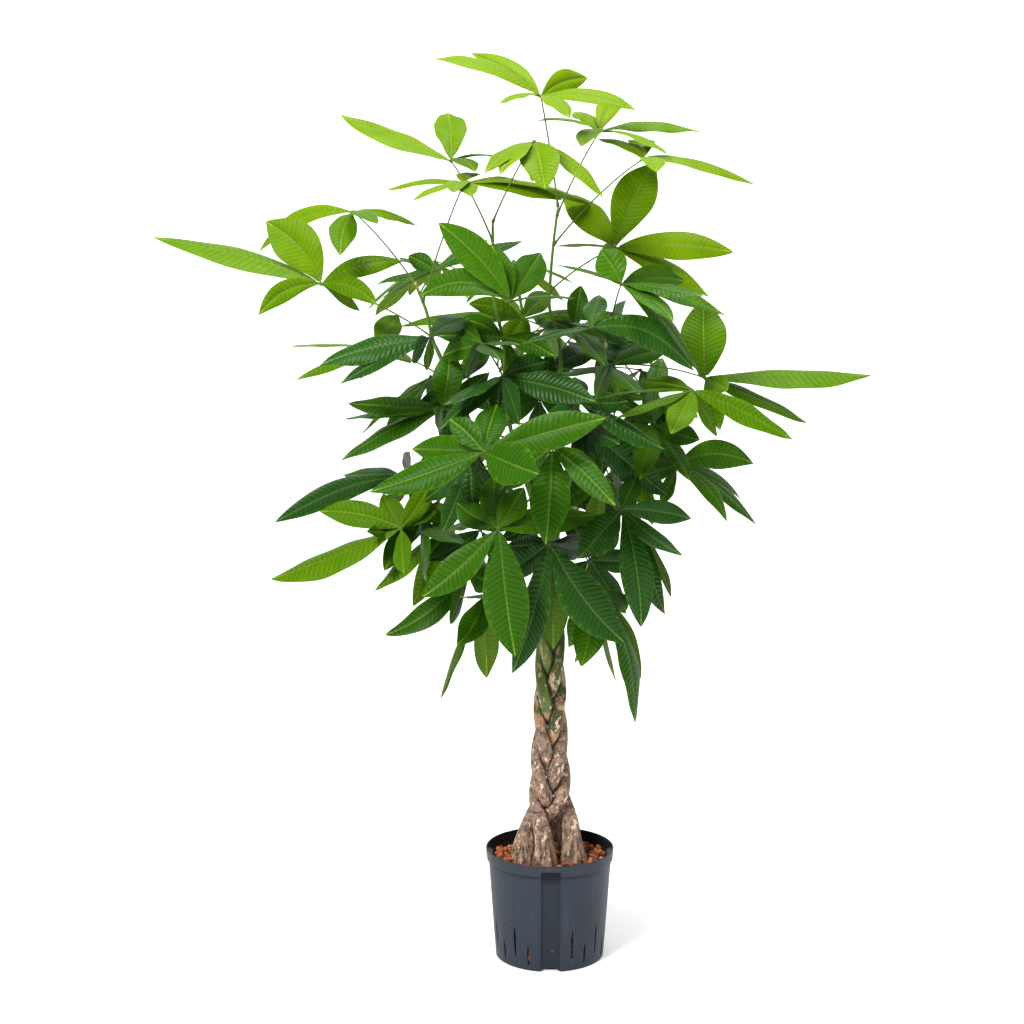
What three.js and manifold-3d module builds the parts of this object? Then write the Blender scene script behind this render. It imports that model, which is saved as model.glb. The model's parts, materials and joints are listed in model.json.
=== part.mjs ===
// A potted money tree: five stems braided together, standing in a plastic growing pot full of clay
// granules, with long-stalked leaves of four to seven leaflets each.
//
// Millimetres, +Z up. The floor is at z = 0, the origin is the middle of the pot's underside, and
// the front, which faces the viewer, is towards -Y.

import * as THREE from "three";
import { mergeVertices } from "three/addons/utils/BufferGeometryUtils.js";
import Module from "manifold-3d";

const wasm = await Module();
wasm.setup();

const UP = new THREE.Vector3(0, 0, 1);
const BACK = new THREE.Vector3(0, 1, 0);
const degrees = THREE.MathUtils.degToRad;
const mix = THREE.MathUtils.lerp;

// Clearance between two pieces that touch on the real plant.
const GAP = 0.3;

// The pot.
const POT_HEIGHT = 190;
const RIM_RADIUS = 110;
const RIM_BAND = 20;
const WALL_TOP_RADIUS = 106;
const BASE_RADIUS = 94;
const WALL = 2.5;
const FLOOR = 8;
const POT_SIDES = 32;
const QUARTERS = 4;
const FLUTE = { halfWidth: 16, depth: 6, belowRim: 11.5 };
const NOTCH = { height: 6, radius: 21.75, length: 14 };
const NOTCH_SIDES = 16;
const SLOT_ANGLES = [22, 37, 52, 67];
const HIGH_SLOT = { bottom: 22, top: 73 };
const LOW_SLOT = { bottom: 10, top: 43 };
const SLOT_HALF_WIDTH = { bottom: 1.3, widest: 2.3 };

// The clay granules that fill it.
const CLAY_TOP = 171;
const GRANULES = 38;
const GRANULE_RADIUS = [8, 11];

// The braided stems.
const STEM_SIDES = 6;
const STEM_FOOT = CLAY_TOP - 50;
const BRAID_TURN = 400;
const BRAID_CROSSING = 453;
const BRAID_STARTS = [CLAY_TOP, 300];
const BRAID_ENDS = [640, 880];
const BRAID_STEP = 23;
const SHOOT_STEP = 42;
// Heights, each with half the width of the braid's path there.
const BRAID_WIDTH = [[170, 27], [257, 24], [324, 21.4], [391, 17.7], [458, 16.6], [526, 15], [700, 13.5],
  [900, 13]];
const BRAID_DEPTH = 1.25;
// Heights, each with the radius that a stem has there if its neighbours leave it the room.
const STEM_RADIUS = [[120, 20], [176, 20], [205, 15.5], [257, 12.5], [324, 11.5], [400, 10.2], [525, 8.8],
  [700, 7.6], [800, 6.2], [900, 4.6], [1300, 2.8]];

// A leaf's stalk and its blades.
const STALK_SIDES = 3;
const STALK_STEPS = 4;
const STALK_RADIUS = [2.1, 1.5];
const HUB_RADIUS = 3.6;
const STALK_RISE = 0.07;
const STALK_BENDS = [0.3, 0.72];
const RIB_THICKNESS = 3;
// How far a blade arches up, as a share of its length, by the height of its hub.
const BLADE_BOW = [[700, -0.03], [850, 0], [1000, 0.03], [1200, 0.045], [1330, 0.085]];
const BLADE_FOOT = 0.09;
const WIDTH_OF_LENGTH = 0.27;
const WIDEST = 74;
const FULL_BLADE = 165;
const LONG_BLADE = 150;
// How far a blade's middle line has come at each section, and how much of its full width it has there.
const SHORT_OUTLINE = [[0.36, 0.84], [0.7, 0.9]];
const LONG_OUTLINE = [[0.09, 0.09], [0.33, 0.74], [0.6, 1], [0.83, 0.62]];
// A blade or stalk that would touch another is swung clear of it in these steps.
const SWING_STEP = 14;
const SWING_STEPS = 16;
const CLEAR_ROUND_BLADE = 2;
const CLEAR_ROUND_STALK = 1;

const LOOKS = {
  pot: new THREE.MeshStandardMaterial({ color: 0x48515c, roughness: 0.55, metalness: 0 }),
  clay: new THREE.MeshStandardMaterial({ color: 0x9c4c2d, roughness: 0.95, metalness: 0 }),
  bark: new THREE.MeshStandardMaterial({ color: 0x80705f, roughness: 0.85, metalness: 0 }),
  light: new THREE.MeshStandardMaterial({ color: 0x7ba71c, roughness: 0.42, metalness: 0 }),
  middle: new THREE.MeshStandardMaterial({ color: 0x4f8423, roughness: 0.4, metalness: 0 }),
  dark: new THREE.MeshStandardMaterial({ color: 0x2c5a2c, roughness: 0.36, metalness: 0 }),
};

// The viewer. A place on the plant is given as seen from here: how far across and how far up it lies
// from the middle of the view, in millimetres on a plane SIGHT mm away, and then its depth, y.
const EYE = new THREE.Vector3(-65, -3000, 1177);
const SIGHT = 3000;
const LOOKING_DOWN = degrees(7.7);

function seen([across, up], y) {
  const ray = new THREE.Vector3(
    across,
    SIGHT * Math.cos(LOOKING_DOWN) + up * Math.sin(LOOKING_DOWN),
    up * Math.cos(LOOKING_DOWN) - SIGHT * Math.sin(LOOKING_DOWN),
  );
  return EYE.clone().addScaledVector(ray, (y - EYE.y) / ray.y);
}

// The stems, in their order round the braid: where each stands in the clay, and its shoot above the
// braid as places seen from the front, each with its depth.
const STEMS = [
  { name: "stem_back", foot: [12, 44],
    shoot: [[5, -30, 10], [-25, 45, 15], [-57, 120, 20], [-75, 162, 20], [-102, 220, 15], [-132, 287, 10],
      [-142, 332, 5], [-162, 383, 0]] },
  { name: "stem_front", foot: [-10, -45],
    shoot: [[62, -30, -5], [72, 60, -10], [83, 183, -10], [82, 233, -5], [77, 292, 0], [63, 338, 5],
      [63, 370, 5], [68, 437, 0], [77, 512, 0]] },
  { name: "stem_left", foot: [-46, -14],
    shoot: [[76, -30, -5], [100, 60, -5], [124, 130, -5], [147, 205, -5], [158, 285, 0]] },
  { name: "stem_hidden", foot: [-34, 36],
    shoot: [[60, -30, 15], [52, 60, 50], [45, 140, 80], [36, 230, 105], [18, 330, 120], [5, 400, 130]] },
  { name: "stem_right", foot: [42, -16],
    shoot: [[40, -30, -20], [18, 60, -40], [-7, 162, -45], [-12, 220, -40], [-15, 287, -35], [-30, 353, -30],
      [-32, 453, -30], [-32, 487, -30]] },
];
const [LEFT, MIDDLE, RIGHT, REAR, FRONT] = [0, 1, 2, 3, 4];

// The leaves that show from the front. Each has the place of its hub and its depth, the stem that it
// grows on and the height where its stalk leaves it, and its leaflets: how far the tip lies across
// and up from the hub and the width that shows, and, where the rules in setLeaflet and BLADE_BOW
// aren't right, how far back the tip lies from the hub and how far the blade arches.
const LEAVES = {
  leaf_top_1: { hub: [48, 693], y: -20, stem: MIDDLE, from: 1278, look: "light",
    leaflets: [[-180, 62, 15], [-117, 73, 30], [78, 30, 37], [158, -23, 18], [-68, -13, 20], [48, -37, 25]] },
  leaf_top_2: { hub: [147, 635], y: 40, stem: MIDDLE, from: 1262, look: "light",
    leaflets: [[-105, 17, 8], [-42, 32, 20], [37, 55, 33], [167, -2, 12], [113, -40, 20], [-32, -27, 30]] },
  leaf_top_3: { hub: [218, 588], y: -40, stem: MIDDLE, from: 1215, look: "light",
    leaflets: [[-77, 33, 8], [-5, 27, 42], [188, -43, 10], [23, -22, 25], [72, -8, 16, 90]] },
  leaf_top_4: { hub: [-80, 547], y: -70, stem: LEFT, from: 1122, look: "light",
    leaflets: [[165, -27, 30, 60, 0.07], [210, -35, 8, 80], [-132, -12, 10, 40], [-88, -30, 13, -60],
      [-17, -15, 25], [23, 15, 8], [12, -22, 20]] },
  leaf_top_5: { hub: [-102, 585], y: 60, stem: FRONT, from: 1221, look: "light",
    leaflets: [[-183, 77, 30, 60, 0.02], [-5, 80, 53], [107, -2, 15], [40, -18, 10]] },
  leaf_top_6: { hub: [37, 617], y: -100, stem: FRONT, from: 1252, look: "light",
    leaflets: [[-57, -55, 23], [-82, -52, 8], [18, -80, 58], [-3, -67, 23, 60], [115, -93, 20]] },

  leaf_right_1: { hub: [172, 440], y: 20, stem: MIDDLE, from: 1140, look: "light",
    leaflets: [[-88, 93, 43], [67, 142, 67], [197, -7, 37], [157, -82, 27], [-100, 2, 20], [-30, -40, 13]] },
  leaf_right_2: { hub: [182, 380], y: -110, stem: RIGHT, from: 1060, look: "middle",
    leaflets: [[-112, 32, 15], [-35, 57, 50], [105, 5, 37], [137, -20, 17], [173, -52, 20],
      [87, -62, 24], [128, -143, 26, 60, 0.08]] },
  leaf_right_3: { hub: [322, 223], y: 20, stem: RIGHT, from: 1018, look: "light",
    leaflets: [[-3, 128, 73], [277, 5, 27], [170, -75, 20], [25, -87, 33, -50], [38, -20, 30],
      [-22, 47, 20]] },
  leaf_right_4: { hub: [300, 203], y: -120, stem: RIGHT, from: 985, look: "light",
    leaflets: [[168, -82, 30], [-35, -73, 43], [42, -77, 20, 50], [-85, 15, 27], [-128, -48, 17]] },
  leaf_right_5: { hub: [275, 77], y: -40, stem: RIGHT, from: 880, look: "middle",
    leaflets: [[128, 3, 47, 40, 0.13], [132, -98, 20, 20, 0.08], [83, -93, 20, -60, 0.12],
      [107, -57, 20, 50, 0.1], [18, -23, 8, 60], [-37, 35, 30, 90], [-52, -10, 33, 70]] },
  leaf_right_6: { hub: [183, 5], y: -160, stem: RIGHT, from: 905, look: "dark",
    leaflets: [[-73, -83, 53], [32, -197, 43, -40, 0.1], [103, -78, 25], [72, -68, 17, 60],
      [82, -147, 23, 70, 0.08], [-13, 63, 23], [25, 57, 33, 60]] },
  leaf_right_7: { hub: [207, 83], y: 80, stem: RIGHT, from: 930, look: "light",
    leaflets: [[85, -95, 23, 60, -0.2], [27, -105, 37, 40], [-40, -30, 30], [53, 37, 27], [-18, 53, 33]] },
  leaf_right_8: { hub: [133, 307], y: -170, stem: MIDDLE, from: 1040, look: "dark",
    leaflets: [[170, -72, 40, 60, 0.16], [-28, 3, 23], [-117, -27, 20], [13, 55, 33], [63, -28, 23, 80]] },
  leaf_right_9: { hub: [162, 283], y: 100, stem: RIGHT, from: 1040, look: "middle",
    leaflets: [[28, 70, 25], [67, 7, 13], [-32, 70, 20], [77, -17, 17, 60]] },
  leaf_right_10: { hub: [163, 243], y: -70, stem: RIGHT, from: 1000, look: "middle",
    leaflets: [[95, 27, 30], [-90, -15, 23], [-70, 43, 25], [-25, -57, 30], [50, -48, 27],
      [17, -57, 23, 60]] },
  leaf_right_11: { hub: [113, 182], y: -190, stem: RIGHT, from: 960, look: "dark",
    leaflets: [[-8, 43, 33], [147, 23, 20], [142, -78, 23], [-58, -37, 30], [-47, 38, 23]] },

  leaf_left_1: { hub: [-318, 380], y: -20, stem: LEFT, from: 1063, look: "light",
    leaflets: [[-280, 78, 30], [-92, 104, 70, 40, 0.09], [-105, -53, 30, -40, 0.12], [138, 38, 27, 50, 0.1],
      [93, -35, 30, -60, 0.1], [65, -45, 17, 60]] },
  leaf_left_2: { hub: [-265, 500], y: 40, stem: LEFT, from: 1148, look: "light",
    leaflets: [[-158, -68, 22, 30, 0.15], [-22, -73, 43], [40, -20, 23], [110, -25, 15, 60, 0.1]] },
  leaf_left_3: { hub: [-128, 402], y: 50, stem: LEFT, from: 1135, look: "middle",
    leaflets: [[-58, 22, 25], [-98, -22, 10], [-93, -48, 15, 70], [147, 50, 17], [87, 52, 27]] },
  leaf_left_4: { hub: [-223, 273], y: -30, stem: LEFT, from: 985, look: "light",
    leaflets: [[-147, 3, 17], [-137, -53, 15], [-37, -50, 25], [53, -25, 23], [33, 55, 42], [83, 2, 13]] },
  leaf_left_5: { hub: [-137, 290], y: -140, stem: LEFT, from: 1010, look: "dark",
    leaflets: [[-183, -45, 33], [-150, -77, 17], [-30, -40, 13], [-5, -55, 13, 50], [67, 33, 30]] },
  leaf_left_6: { hub: [-115, 173], y: -60, stem: LEFT, from: 915, look: "middle",
    leaflets: [[-158, 8, 30], [-165, -18, 15, 50], [-170, -87, 23], [12, 97, 47], [78, 60, 27],
      [-8, -37, 23]] },
  leaf_left_7: { hub: [-47, 100], y: -300, stem: FRONT, from: 925, look: "middle",
    leaflets: [[22, 80, 47], [-120, 5, 43], [-192, -67, 37], [205, 57, 47], [92, -37, 63]] },

  leaf_front_1: { hub: [-2, 352], y: -170, stem: FRONT, from: 1085, look: "middle",
    leaflets: [[-120, 130, 50], [-152, 7, 40, 60, 0.14], [50, 80, 50], [-32, 93, 33, 70], [107, 5, 20]] },
  leaf_front_2: { hub: [17, 322], y: 30, stem: MIDDLE, from: 1065, look: "light",
    leaflets: [[-42, 23, 33], [47, 43, 33], [-205, -13, 17], [173, 3, 13], [13, -60, 27]] },
  leaf_front_3: { hub: [-50, 280], y: -100, stem: FRONT, from: 995, look: "middle",
    leaflets: [[-28, -55, 17], [-75, 13, 20], [-53, 37, 23, 80], [30, -27, 23], [63, -2, 20]] },
  leaf_front_4: { hub: [68, 107], y: -265, stem: MIDDLE, from: 915, look: "middle",
    leaflets: [[-12, -162, 58], [105, -97, 33], [-88, -70, 40, 80], [78, -37, 33, 60]] },
  leaf_front_5: { hub: [-22, -27], y: -250, stem: FRONT, from: 860, look: "middle",
    leaflets: [[28, -215, 67], [-128, -115, 47], [-70, 43, 42], [165, 23, 43, 170], [-28, -45, 10, 30],
      [42, 68, 42, 70], [-8, 88, 43, 90]] },
  leaf_front_6: { hub: [62, -52], y: -190, stem: MIDDLE, from: 850, look: "dark",
    leaflets: [[127, -167, 67], [-62, -217, 42, 40], [7, -178, 50, 60], [78, 25, 25],
      [-75, -48, 45, 70], [-72, -5, 33, 100], [62, -8, 36, 100]] },
  leaf_front_7: { hub: [-17, 225], y: -150, stem: FRONT, from: 960, look: "dark",
    leaflets: [[-95, -47, 23], [-103, -88, 27], [158, -42, 40], [30, -80, 30], [63, 8, 27],
      [-45, -52, 23, 60]] },
  leaf_front_8: { hub: [120, 140], y: -110, stem: RIGHT, from: 935, look: "dark",
    leaflets: [[140, -113, 53], [10, -70, 37], [-65, -20, 33], [60, -28, 30]] },
  leaf_front_9: { hub: [142, -130], y: -70, stem: MIDDLE, from: 825, look: "middle",
    leaflets: [[63, -222, 23, -20, 0.1], [73, -148, 30, 60, 0.1], [32, -155, 30, 110], [-27, -128, 52],
      [-38, -123, 24, 60], [50, -33, 33]] },
  leaf_inner_1: { hub: [238, 145], y: -30, stem: RIGHT, from: 950, look: "middle",
    leaflets: [[-92, -42, 33], [-25, -92, 37], [75, -25, 33], [58, -92, 27], [-8, 67, 30]] },
  leaf_inner_2: { hub: [-95, 212], y: -20, stem: LEFT, from: 960, look: "dark",
    leaflets: [[-67, -58, 33], [-25, -92, 30], [75, -42, 33], [58, 58, 30]] },
  leaf_inner_3: { hub: [80, 20], y: 70, stem: REAR, from: 870, look: "dark",
    leaflets: [[-100, -67, 40], [67, -100, 43], [133, 0, 33], [-67, 67, 37], [50, 92, 33]] },
  leaf_inner_4: { hub: [47, 187], y: 60, stem: REAR, from: 950, look: "dark",
    leaflets: [[-100, -50, 37], [83, -50, 37], [-67, 83, 33], [58, 83, 30], [0, -83, 33]] },
  leaf_inner_5: { hub: [-70, 78], y: -130, stem: LEFT, from: 890, look: "dark",
    leaflets: [[-47, -112, 32, 10], [52, -62, 42, 70], [-45, -42, 20, 60], [-75, -58, 30, 90],
      [20, 60, 33, 120]] },

  leaf_low_left_1: { hub: [-185, -27], y: -90, stem: LEFT, from: 850, look: "light",
    leaflets: [[-135, 28, 43, 40, 0.08], [-217, -85, 37, 40, -0.01], [5, -75, 27], [52, 80, 33],
      [-30, 58, 40], [65, 47, 23, 90]] },
  leaf_low_left_2: { hub: [-178, 60], y: 40, stem: LEFT, from: 885, look: "dark",
    leaflets: [[-217, -77, 33, -40, 0.07], [-103, 2, 30], [8, 40, 17], [58, -83, 23], [-30, -62, 32, 60]] },
  leaf_low_left_3: { hub: [-112, -30], y: -30, stem: LEFT, from: 815, look: "light",
    leaflets: [[-117, -102, 20], [-52, -127, 20, 50], [42, 17, 23], [-25, 42, 23]] },
  leaf_low_left_4: { hub: [-72, -102], y: -40, stem: FRONT, from: 800, look: "middle",
    leaflets: [[-140, -103, 34, -20, -0.05], [-32, -85, 24], [42, -22, 42, 30], [22, 32, 30]] },
  leaf_low_left_5: { hub: [-42, -135], y: -110, stem: FRONT, from: 775, look: "middle",
    leaflets: [[-50, -87, 42], [-77, -178, 15, 20, 0.05], [0, -142, 33, 50], [-42, -5, 13]] },
};

// Second leaves on some of the stalks, which make twigs of them: the leaf whose stalk bears each, its
// hub, depth and leaflets.
const TWIN_AT = 0.34;
const TWINS = [
  { on: "leaf_inner_1", hub: [147, 53], y: 60,
    leaflets: [[-75, -45, 33, 40], [-15, -95, 36, 30], [70, -70, 30, 60], [85, 20, 30, 80],
      [10, 75, 33, 60]] },
  { on: "leaf_inner_2", hub: [-112, 120], y: 40,
    leaflets: [[-55, -80, 33, 40], [15, -95, 36, 30], [70, -50, 30, 60], [40, 60, 30, 90]] },
  { on: "leaf_inner_3", hub: [130, -80], y: 30,
    leaflets: [[60, -90, 36, 20], [-10, -105, 36, 40], [78, 5, 40, 50], [-85, -60, 33, 60],
      [48, 58, 38, 30]] },
  { on: "leaf_inner_4", hub: [147, 270], y: 120,
    leaflets: [[80, -20, 33], [20, -80, 36], [-75, -30, 33], [-60, 55, 30], [30, 70, 33]] },
  { on: "leaf_inner_5", hub: [-53, -30], y: 20,
    leaflets: [[-90, -50, 33], [-20, -100, 36], [60, -70, 33], [70, 30, 30], [-50, 60, 30]] },
  { on: "leaf_front_3", hub: [-15, 290], y: -60,
    leaflets: [[-108, 4, 33, 40], [-72, 32, 30, 90], [30, -85, 33, 60], [85, -30, 33, 90],
      [-70, -45, 33, 70]] },
  { on: "leaf_right_9", hub: [230, 187], y: 70,
    leaflets: [[80, -30, 30], [40, -80, 33], [-50, -70, 33], [-80, 10, 30], [20, 70, 33]] },
  { on: "leaf_right_10", hub: [105, 303], y: 0,
    leaflets: [[-70, 20, 30], [-30, -70, 33], [50, -60, 30], [90, 0, 30], [10, 75, 33]] },
  { on: "leaf_left_6", hub: [-153, -13], y: 10,
    leaflets: [[-90, -20, 33], [-60, -85, 36], [10, -100, 36], [70, -40, 30], [-20, 60, 30]] },
];

// The leaves at the back, which the front ones hide: the stem and the height where each leaves it,
// its bearing seen from above, from +X towards the back, and how far out and up its hub lies.
const BACK_LEAVES = [
  { stem: REAR, from: 1130, bearing: 95, out: 115, rise: 60, look: "light" },
  { stem: REAR, from: 1065, bearing: 38, out: 180, rise: 5, look: "light" },
  { stem: REAR, from: 1100, bearing: 145, out: 190, rise: 90, look: "light" },
  { stem: REAR, from: 1050, bearing: 80, out: 200, rise: 20, look: "middle" },
  { stem: REAR, from: 990, bearing: 20, out: 200, rise: 10, look: "middle" },
  { stem: REAR, from: 960, bearing: 165, out: 190, rise: 30, look: "middle" },
  { stem: REAR, from: 905, bearing: 115, out: 210, rise: -20, look: "dark" },
  { stem: REAR, from: 860, bearing: 60, out: 200, rise: -50, look: "dark" },
  { stem: LEFT, from: 830, bearing: 130, out: 170, rise: -60, look: "dark" },
];
const BACK_LEAFLETS = 5;
const BACK_FAN = 54;
const BACK_DROOP = [18, 44];
const BACK_LENGTH = [175, 115];

// Random draws, the same in every run.
let draw = 20260;
function random(low, high) {
  draw = (Math.imul(draw, 1664525) + 1013904223) >>> 0;
  return low + (high - low) * (draw / 4294967296);
}

// The value that a table of [place, value] rows gives at a place between its rows.
function valueAt(rows, place) {
  const next = rows.findIndex((row) => row[0] >= place);
  if (next === 0) return rows[0][1];
  if (next < 0) return rows[rows.length - 1][1];
  const [[place0, value0], [place1, value1]] = [rows[next - 1], rows[next]];
  return mix(value0, value1, (place - place0) / (place1 - place0));
}

// A closed solid through rings of points, from a start point to an end point.
function loft(start, rings, end) {
  const sides = rings[0].length;
  const points = [start, ...rings.flat(), end];
  const at = (ring, side) => 1 + ring * sides + (side % sides);
  const last = rings.length - 1;
  const faces = [];
  for (let side = 0; side < sides; side += 1) {
    faces.push(0, at(0, side + 1), at(0, side));
    faces.push(points.length - 1, at(last, side), at(last, side + 1));
    for (let ring = 0; ring < last; ring += 1) {
      const [a, b, c, d] = [at(ring, side), at(ring, side + 1), at(ring + 1, side + 1), at(ring + 1, side)];
      faces.push(a, b, c, a, c, d);
    }
  }
  return new wasm.Manifold(new wasm.Mesh({
    numProp: 3,
    vertProperties: new Float32Array(points.flatMap((point) => point.toArray())),
    triVerts: new Uint32Array(faces),
  }));
}

// A closed three.js geometry as a solid, and a solid as a geometry.
function solidFrom(geometry) {
  const bare = geometry.index ? geometry.toNonIndexed() : geometry.clone();
  bare.deleteAttribute("normal");
  bare.deleteAttribute("uv");
  const merged = mergeVertices(bare, 1e-3);
  return new wasm.Manifold(new wasm.Mesh({
    numProp: 3,
    vertProperties: new Float32Array(merged.attributes.position.array),
    triVerts: new Uint32Array(merged.index.array),
  }));
}

function geometryFrom(solid) {
  const mesh = solid.getMesh();
  const geometry = new THREE.BufferGeometry();
  geometry.setAttribute("position", new THREE.BufferAttribute(mesh.vertProperties, mesh.numProp));
  geometry.setIndex(new THREE.BufferAttribute(mesh.triVerts, 1));
  geometry.computeVertexNormals();
  return geometry;
}

function join(solids) {
  return solids.reduce((whole, solid) => whole.add(solid));
}

// The largest body of a solid, without loose scraps.
function largest(solid) {
  const volume = (body) => body.volume();
  return solid.decompose().sort((a, b) => volume(b) - volume(a))[0];
}

// A round tube through points, with the radius that radiusAt gives for each.
function tube(points, radiusAt, sides) {
  const chord = points[points.length - 1].clone().sub(points[0]).normalize();
  const guide = Math.abs(chord.y) < 0.8 ? BACK : UP;
  const rings = points.map((point, index) => {
    const before = points[Math.max(index - 1, 0)];
    const after = points[Math.min(index + 1, points.length - 1)];
    const along = after.clone().sub(before).normalize();
    const wide = new THREE.Vector3().crossVectors(guide, along).normalize();
    const deep = new THREE.Vector3().crossVectors(along, wide);
    return Array.from({ length: sides }, (_, side) => {
      const turn = (2 * Math.PI * side) / sides;
      return point.clone()
        .addScaledVector(wide, radiusAt(index) * Math.cos(turn))
        .addScaledVector(deep, radiusAt(index) * Math.sin(turn));
    });
  });
  return loft(points[0], rings, points[points.length - 1]);
}

// The pot.

function wallRadius(z) {
  return mix(BASE_RADIUS, WALL_TOP_RADIUS, z / (POT_HEIGHT - RIM_BAND));
}

function turned(profile) {
  const points = profile.map(([radius, z]) => new THREE.Vector2(radius, z));
  return solidFrom(new THREE.LatheGeometry(points, POT_SIDES).rotateX(Math.PI / 2));
}

// The hollow of one flute in the pot's wall, grown all round by a margin.
function fluteHollow(grown) {
  const half = FLUTE.halfWidth + grown;
  const heights = [-1, POT_HEIGHT - FLUTE.belowRim + grown];
  const rings = heights.map((z) => {
    const near = wallRadius(z) - FLUTE.depth - grown;
    const far = wallRadius(z) + RIM_BAND;
    const corners = [[half, -far], [half, -near], [-half, -near], [-half, -far]];
    return corners.map(([x, y]) => new THREE.Vector3(x, y, z));
  });
  const sum = (ring) => ring.reduce((total, point) => total.add(point), new THREE.Vector3());
  const middle = (ring) => sum(ring).divideScalar(ring.length);
  return loft(middle(rings[0]), rings, middle(rings[1]));
}

function roundThePot(solid) {
  const turns = Array.from({ length: QUARTERS }, (_, quarter) => (360 / QUARTERS) * quarter);
  return join(turns.map((turn) => solid.rotate([0, 0, turn])));
}

function slotCutter({ bottom, top }, angle) {
  const shoulder = mix(bottom, top, 0.6);
  const { bottom: narrow, widest } = SLOT_HALF_WIDTH;
  const outline = new THREE.Shape();
  outline.moveTo(-narrow, bottom);
  outline.lineTo(narrow, bottom);
  outline.lineTo(widest, shoulder);
  outline.lineTo(0, top);
  outline.lineTo(-widest, shoulder);
  const cutter = new THREE.ExtrudeGeometry(outline, { depth: 30, bevelEnabled: false });
  cutter.rotateX(Math.PI / 2).translate(0, -BASE_RADIUS + 15, 0);
  return solidFrom(cutter).rotate([0, 0, angle]);
}

function notchCutter() {
  const cutter = new THREE.CylinderGeometry(NOTCH.radius, NOTCH.radius, 40, NOTCH_SIDES);
  cutter.translate(0, -BASE_RADIUS + NOTCH.length - 20, NOTCH.height - NOTCH.radius);
  return solidFrom(cutter);
}

function makePot() {
  const bandFoot = POT_HEIGHT - RIM_BAND;
  const above = POT_HEIGHT + 1;
  const outside = turned([[0, 0], [BASE_RADIUS - 2, 0], [BASE_RADIUS, 2], [wallRadius(bandFoot), bandFoot],
    [RIM_RADIUS - 1, bandFoot + 2], [RIM_RADIUS, POT_HEIGHT - 1], [RIM_RADIUS - 1, POT_HEIGHT],
    [0, POT_HEIGHT]]);
  const inside = turned([[0, FLOOR], [wallRadius(FLOOR) - WALL, FLOOR],
    [wallRadius(bandFoot) - WALL, bandFoot], [RIM_RADIUS - 1 - WALL, bandFoot + 4],
    [RIM_RADIUS - WALL, above], [0, above]]);
  const slots = SLOT_ANGLES.map((angle, index) => slotCutter(index % 2 ? LOW_SLOT : HIGH_SLOT, angle));
  return outside
    .subtract(roundThePot(fluteHollow(0)))
    .subtract(inside.subtract(roundThePot(fluteHollow(WALL))))
    .subtract(roundThePot(join(slots)))
    .subtract(roundThePot(notchCutter()));
}

// The stems.

function braidPlace(index, z) {
  const turn = (z - BRAID_CROSSING) / BRAID_TURN + index / STEMS.length;
  const phase = 1.5 * Math.PI + 2 * Math.PI * turn;
  const width = valueAt(BRAID_WIDTH, z);
  return new THREE.Vector3(
    width * (Math.cos(phase) + 0.1 * Math.cos(3 * phase)),
    BRAID_DEPTH * width * (Math.sin(2 * phase) - 0.1 * Math.sin(4 * phase)),
    z,
  );
}

// A stem as points from its foot in the clay, through the braid, to the top of its shoot.
function stemPath({ foot, shoot }, index) {
  const curve = new THREE.CatmullRomCurve3(shoot.map(([across, up, y]) => seen([across, up], y)));
  const places = curve.getPoints(120);
  const top = places[places.length - 1].z;
  const shootX = places.map((place) => [place.z, place.x]);
  const shootY = places.map((place) => [place.z, place.y]);
  const standing = new THREE.Vector3(foot[0], foot[1], 0);
  const braidSteps = Math.round((BRAID_ENDS[1] - STEM_FOOT) / BRAID_STEP);
  const shootSteps = Math.ceil((top - BRAID_ENDS[1]) / SHOOT_STEP);
  const path = [];
  for (let step = 0; step <= braidSteps + shootSteps; step += 1) {
    const z = step < braidSteps
      ? mix(STEM_FOOT, BRAID_ENDS[1], step / braidSteps)
      : mix(BRAID_ENDS[1], top, (step - braidSteps) / shootSteps);
    const place = braidPlace(index, z);
    place.lerp(standing, 1 - THREE.MathUtils.smoothstep(z, ...BRAID_STARTS));
    const shootPlace = new THREE.Vector3(valueAt(shootX, z), valueAt(shootY, z), z);
    place.lerp(shootPlace, THREE.MathUtils.smoothstep(z, ...BRAID_ENDS));
    place.z = z;
    path.push(place);
  }
  return path;
}

const stemPaths = STEMS.map(stemPath);

// Half the distance from a place on one stem to the nearest of the others, less half the gap.
function roomAt(index, place) {
  let nearest = Infinity;
  stemPaths.forEach((path, other) => {
    if (other === index) return;
    for (let step = 1; step < path.length; step += 1) {
      const stretch = new THREE.Line3(path[step - 1], path[step]);
      const closest = stretch.closestPointToPoint(place, true, new THREE.Vector3());
      nearest = Math.min(nearest, closest.distanceTo(place));
    }
  });
  return (nearest - GAP) / 2;
}

// The radius of a stem at each step of its path: as thick as it grows, or as the room allows along
// the two stretches that meet there.
const STRETCH_SHARES = [-1, -0.75, -0.5, -0.25, 0, 0.25, 0.5, 0.75, 1];
const stemRadii = stemPaths.map((path, index) => path.map((place, step) => {
  const rooms = STRETCH_SHARES.map((share) => {
    const next = path[step + Math.sign(share)] ?? place;
    return roomAt(index, place.clone().lerp(next, Math.abs(share)));
  });
  return Math.min(valueAt(STEM_RADIUS, place.z), ...rooms);
}));

function makeStem(index, grown = 0) {
  const path = stemPaths[index].map((place) => place.clone());
  path[path.length - 1].z += grown;
  return tube(path, (step) => stemRadii[index][step] + grown, STEM_SIDES);
}

function placeOnStem(index, z) {
  const path = stemPaths[index];
  return new THREE.Vector3(
    valueAt(path.map((place) => [place.z, place.x]), z),
    valueAt(path.map((place) => [place.z, place.y]), z),
    Math.min(z, path[path.length - 1].z - 2),
  );
}

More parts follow.
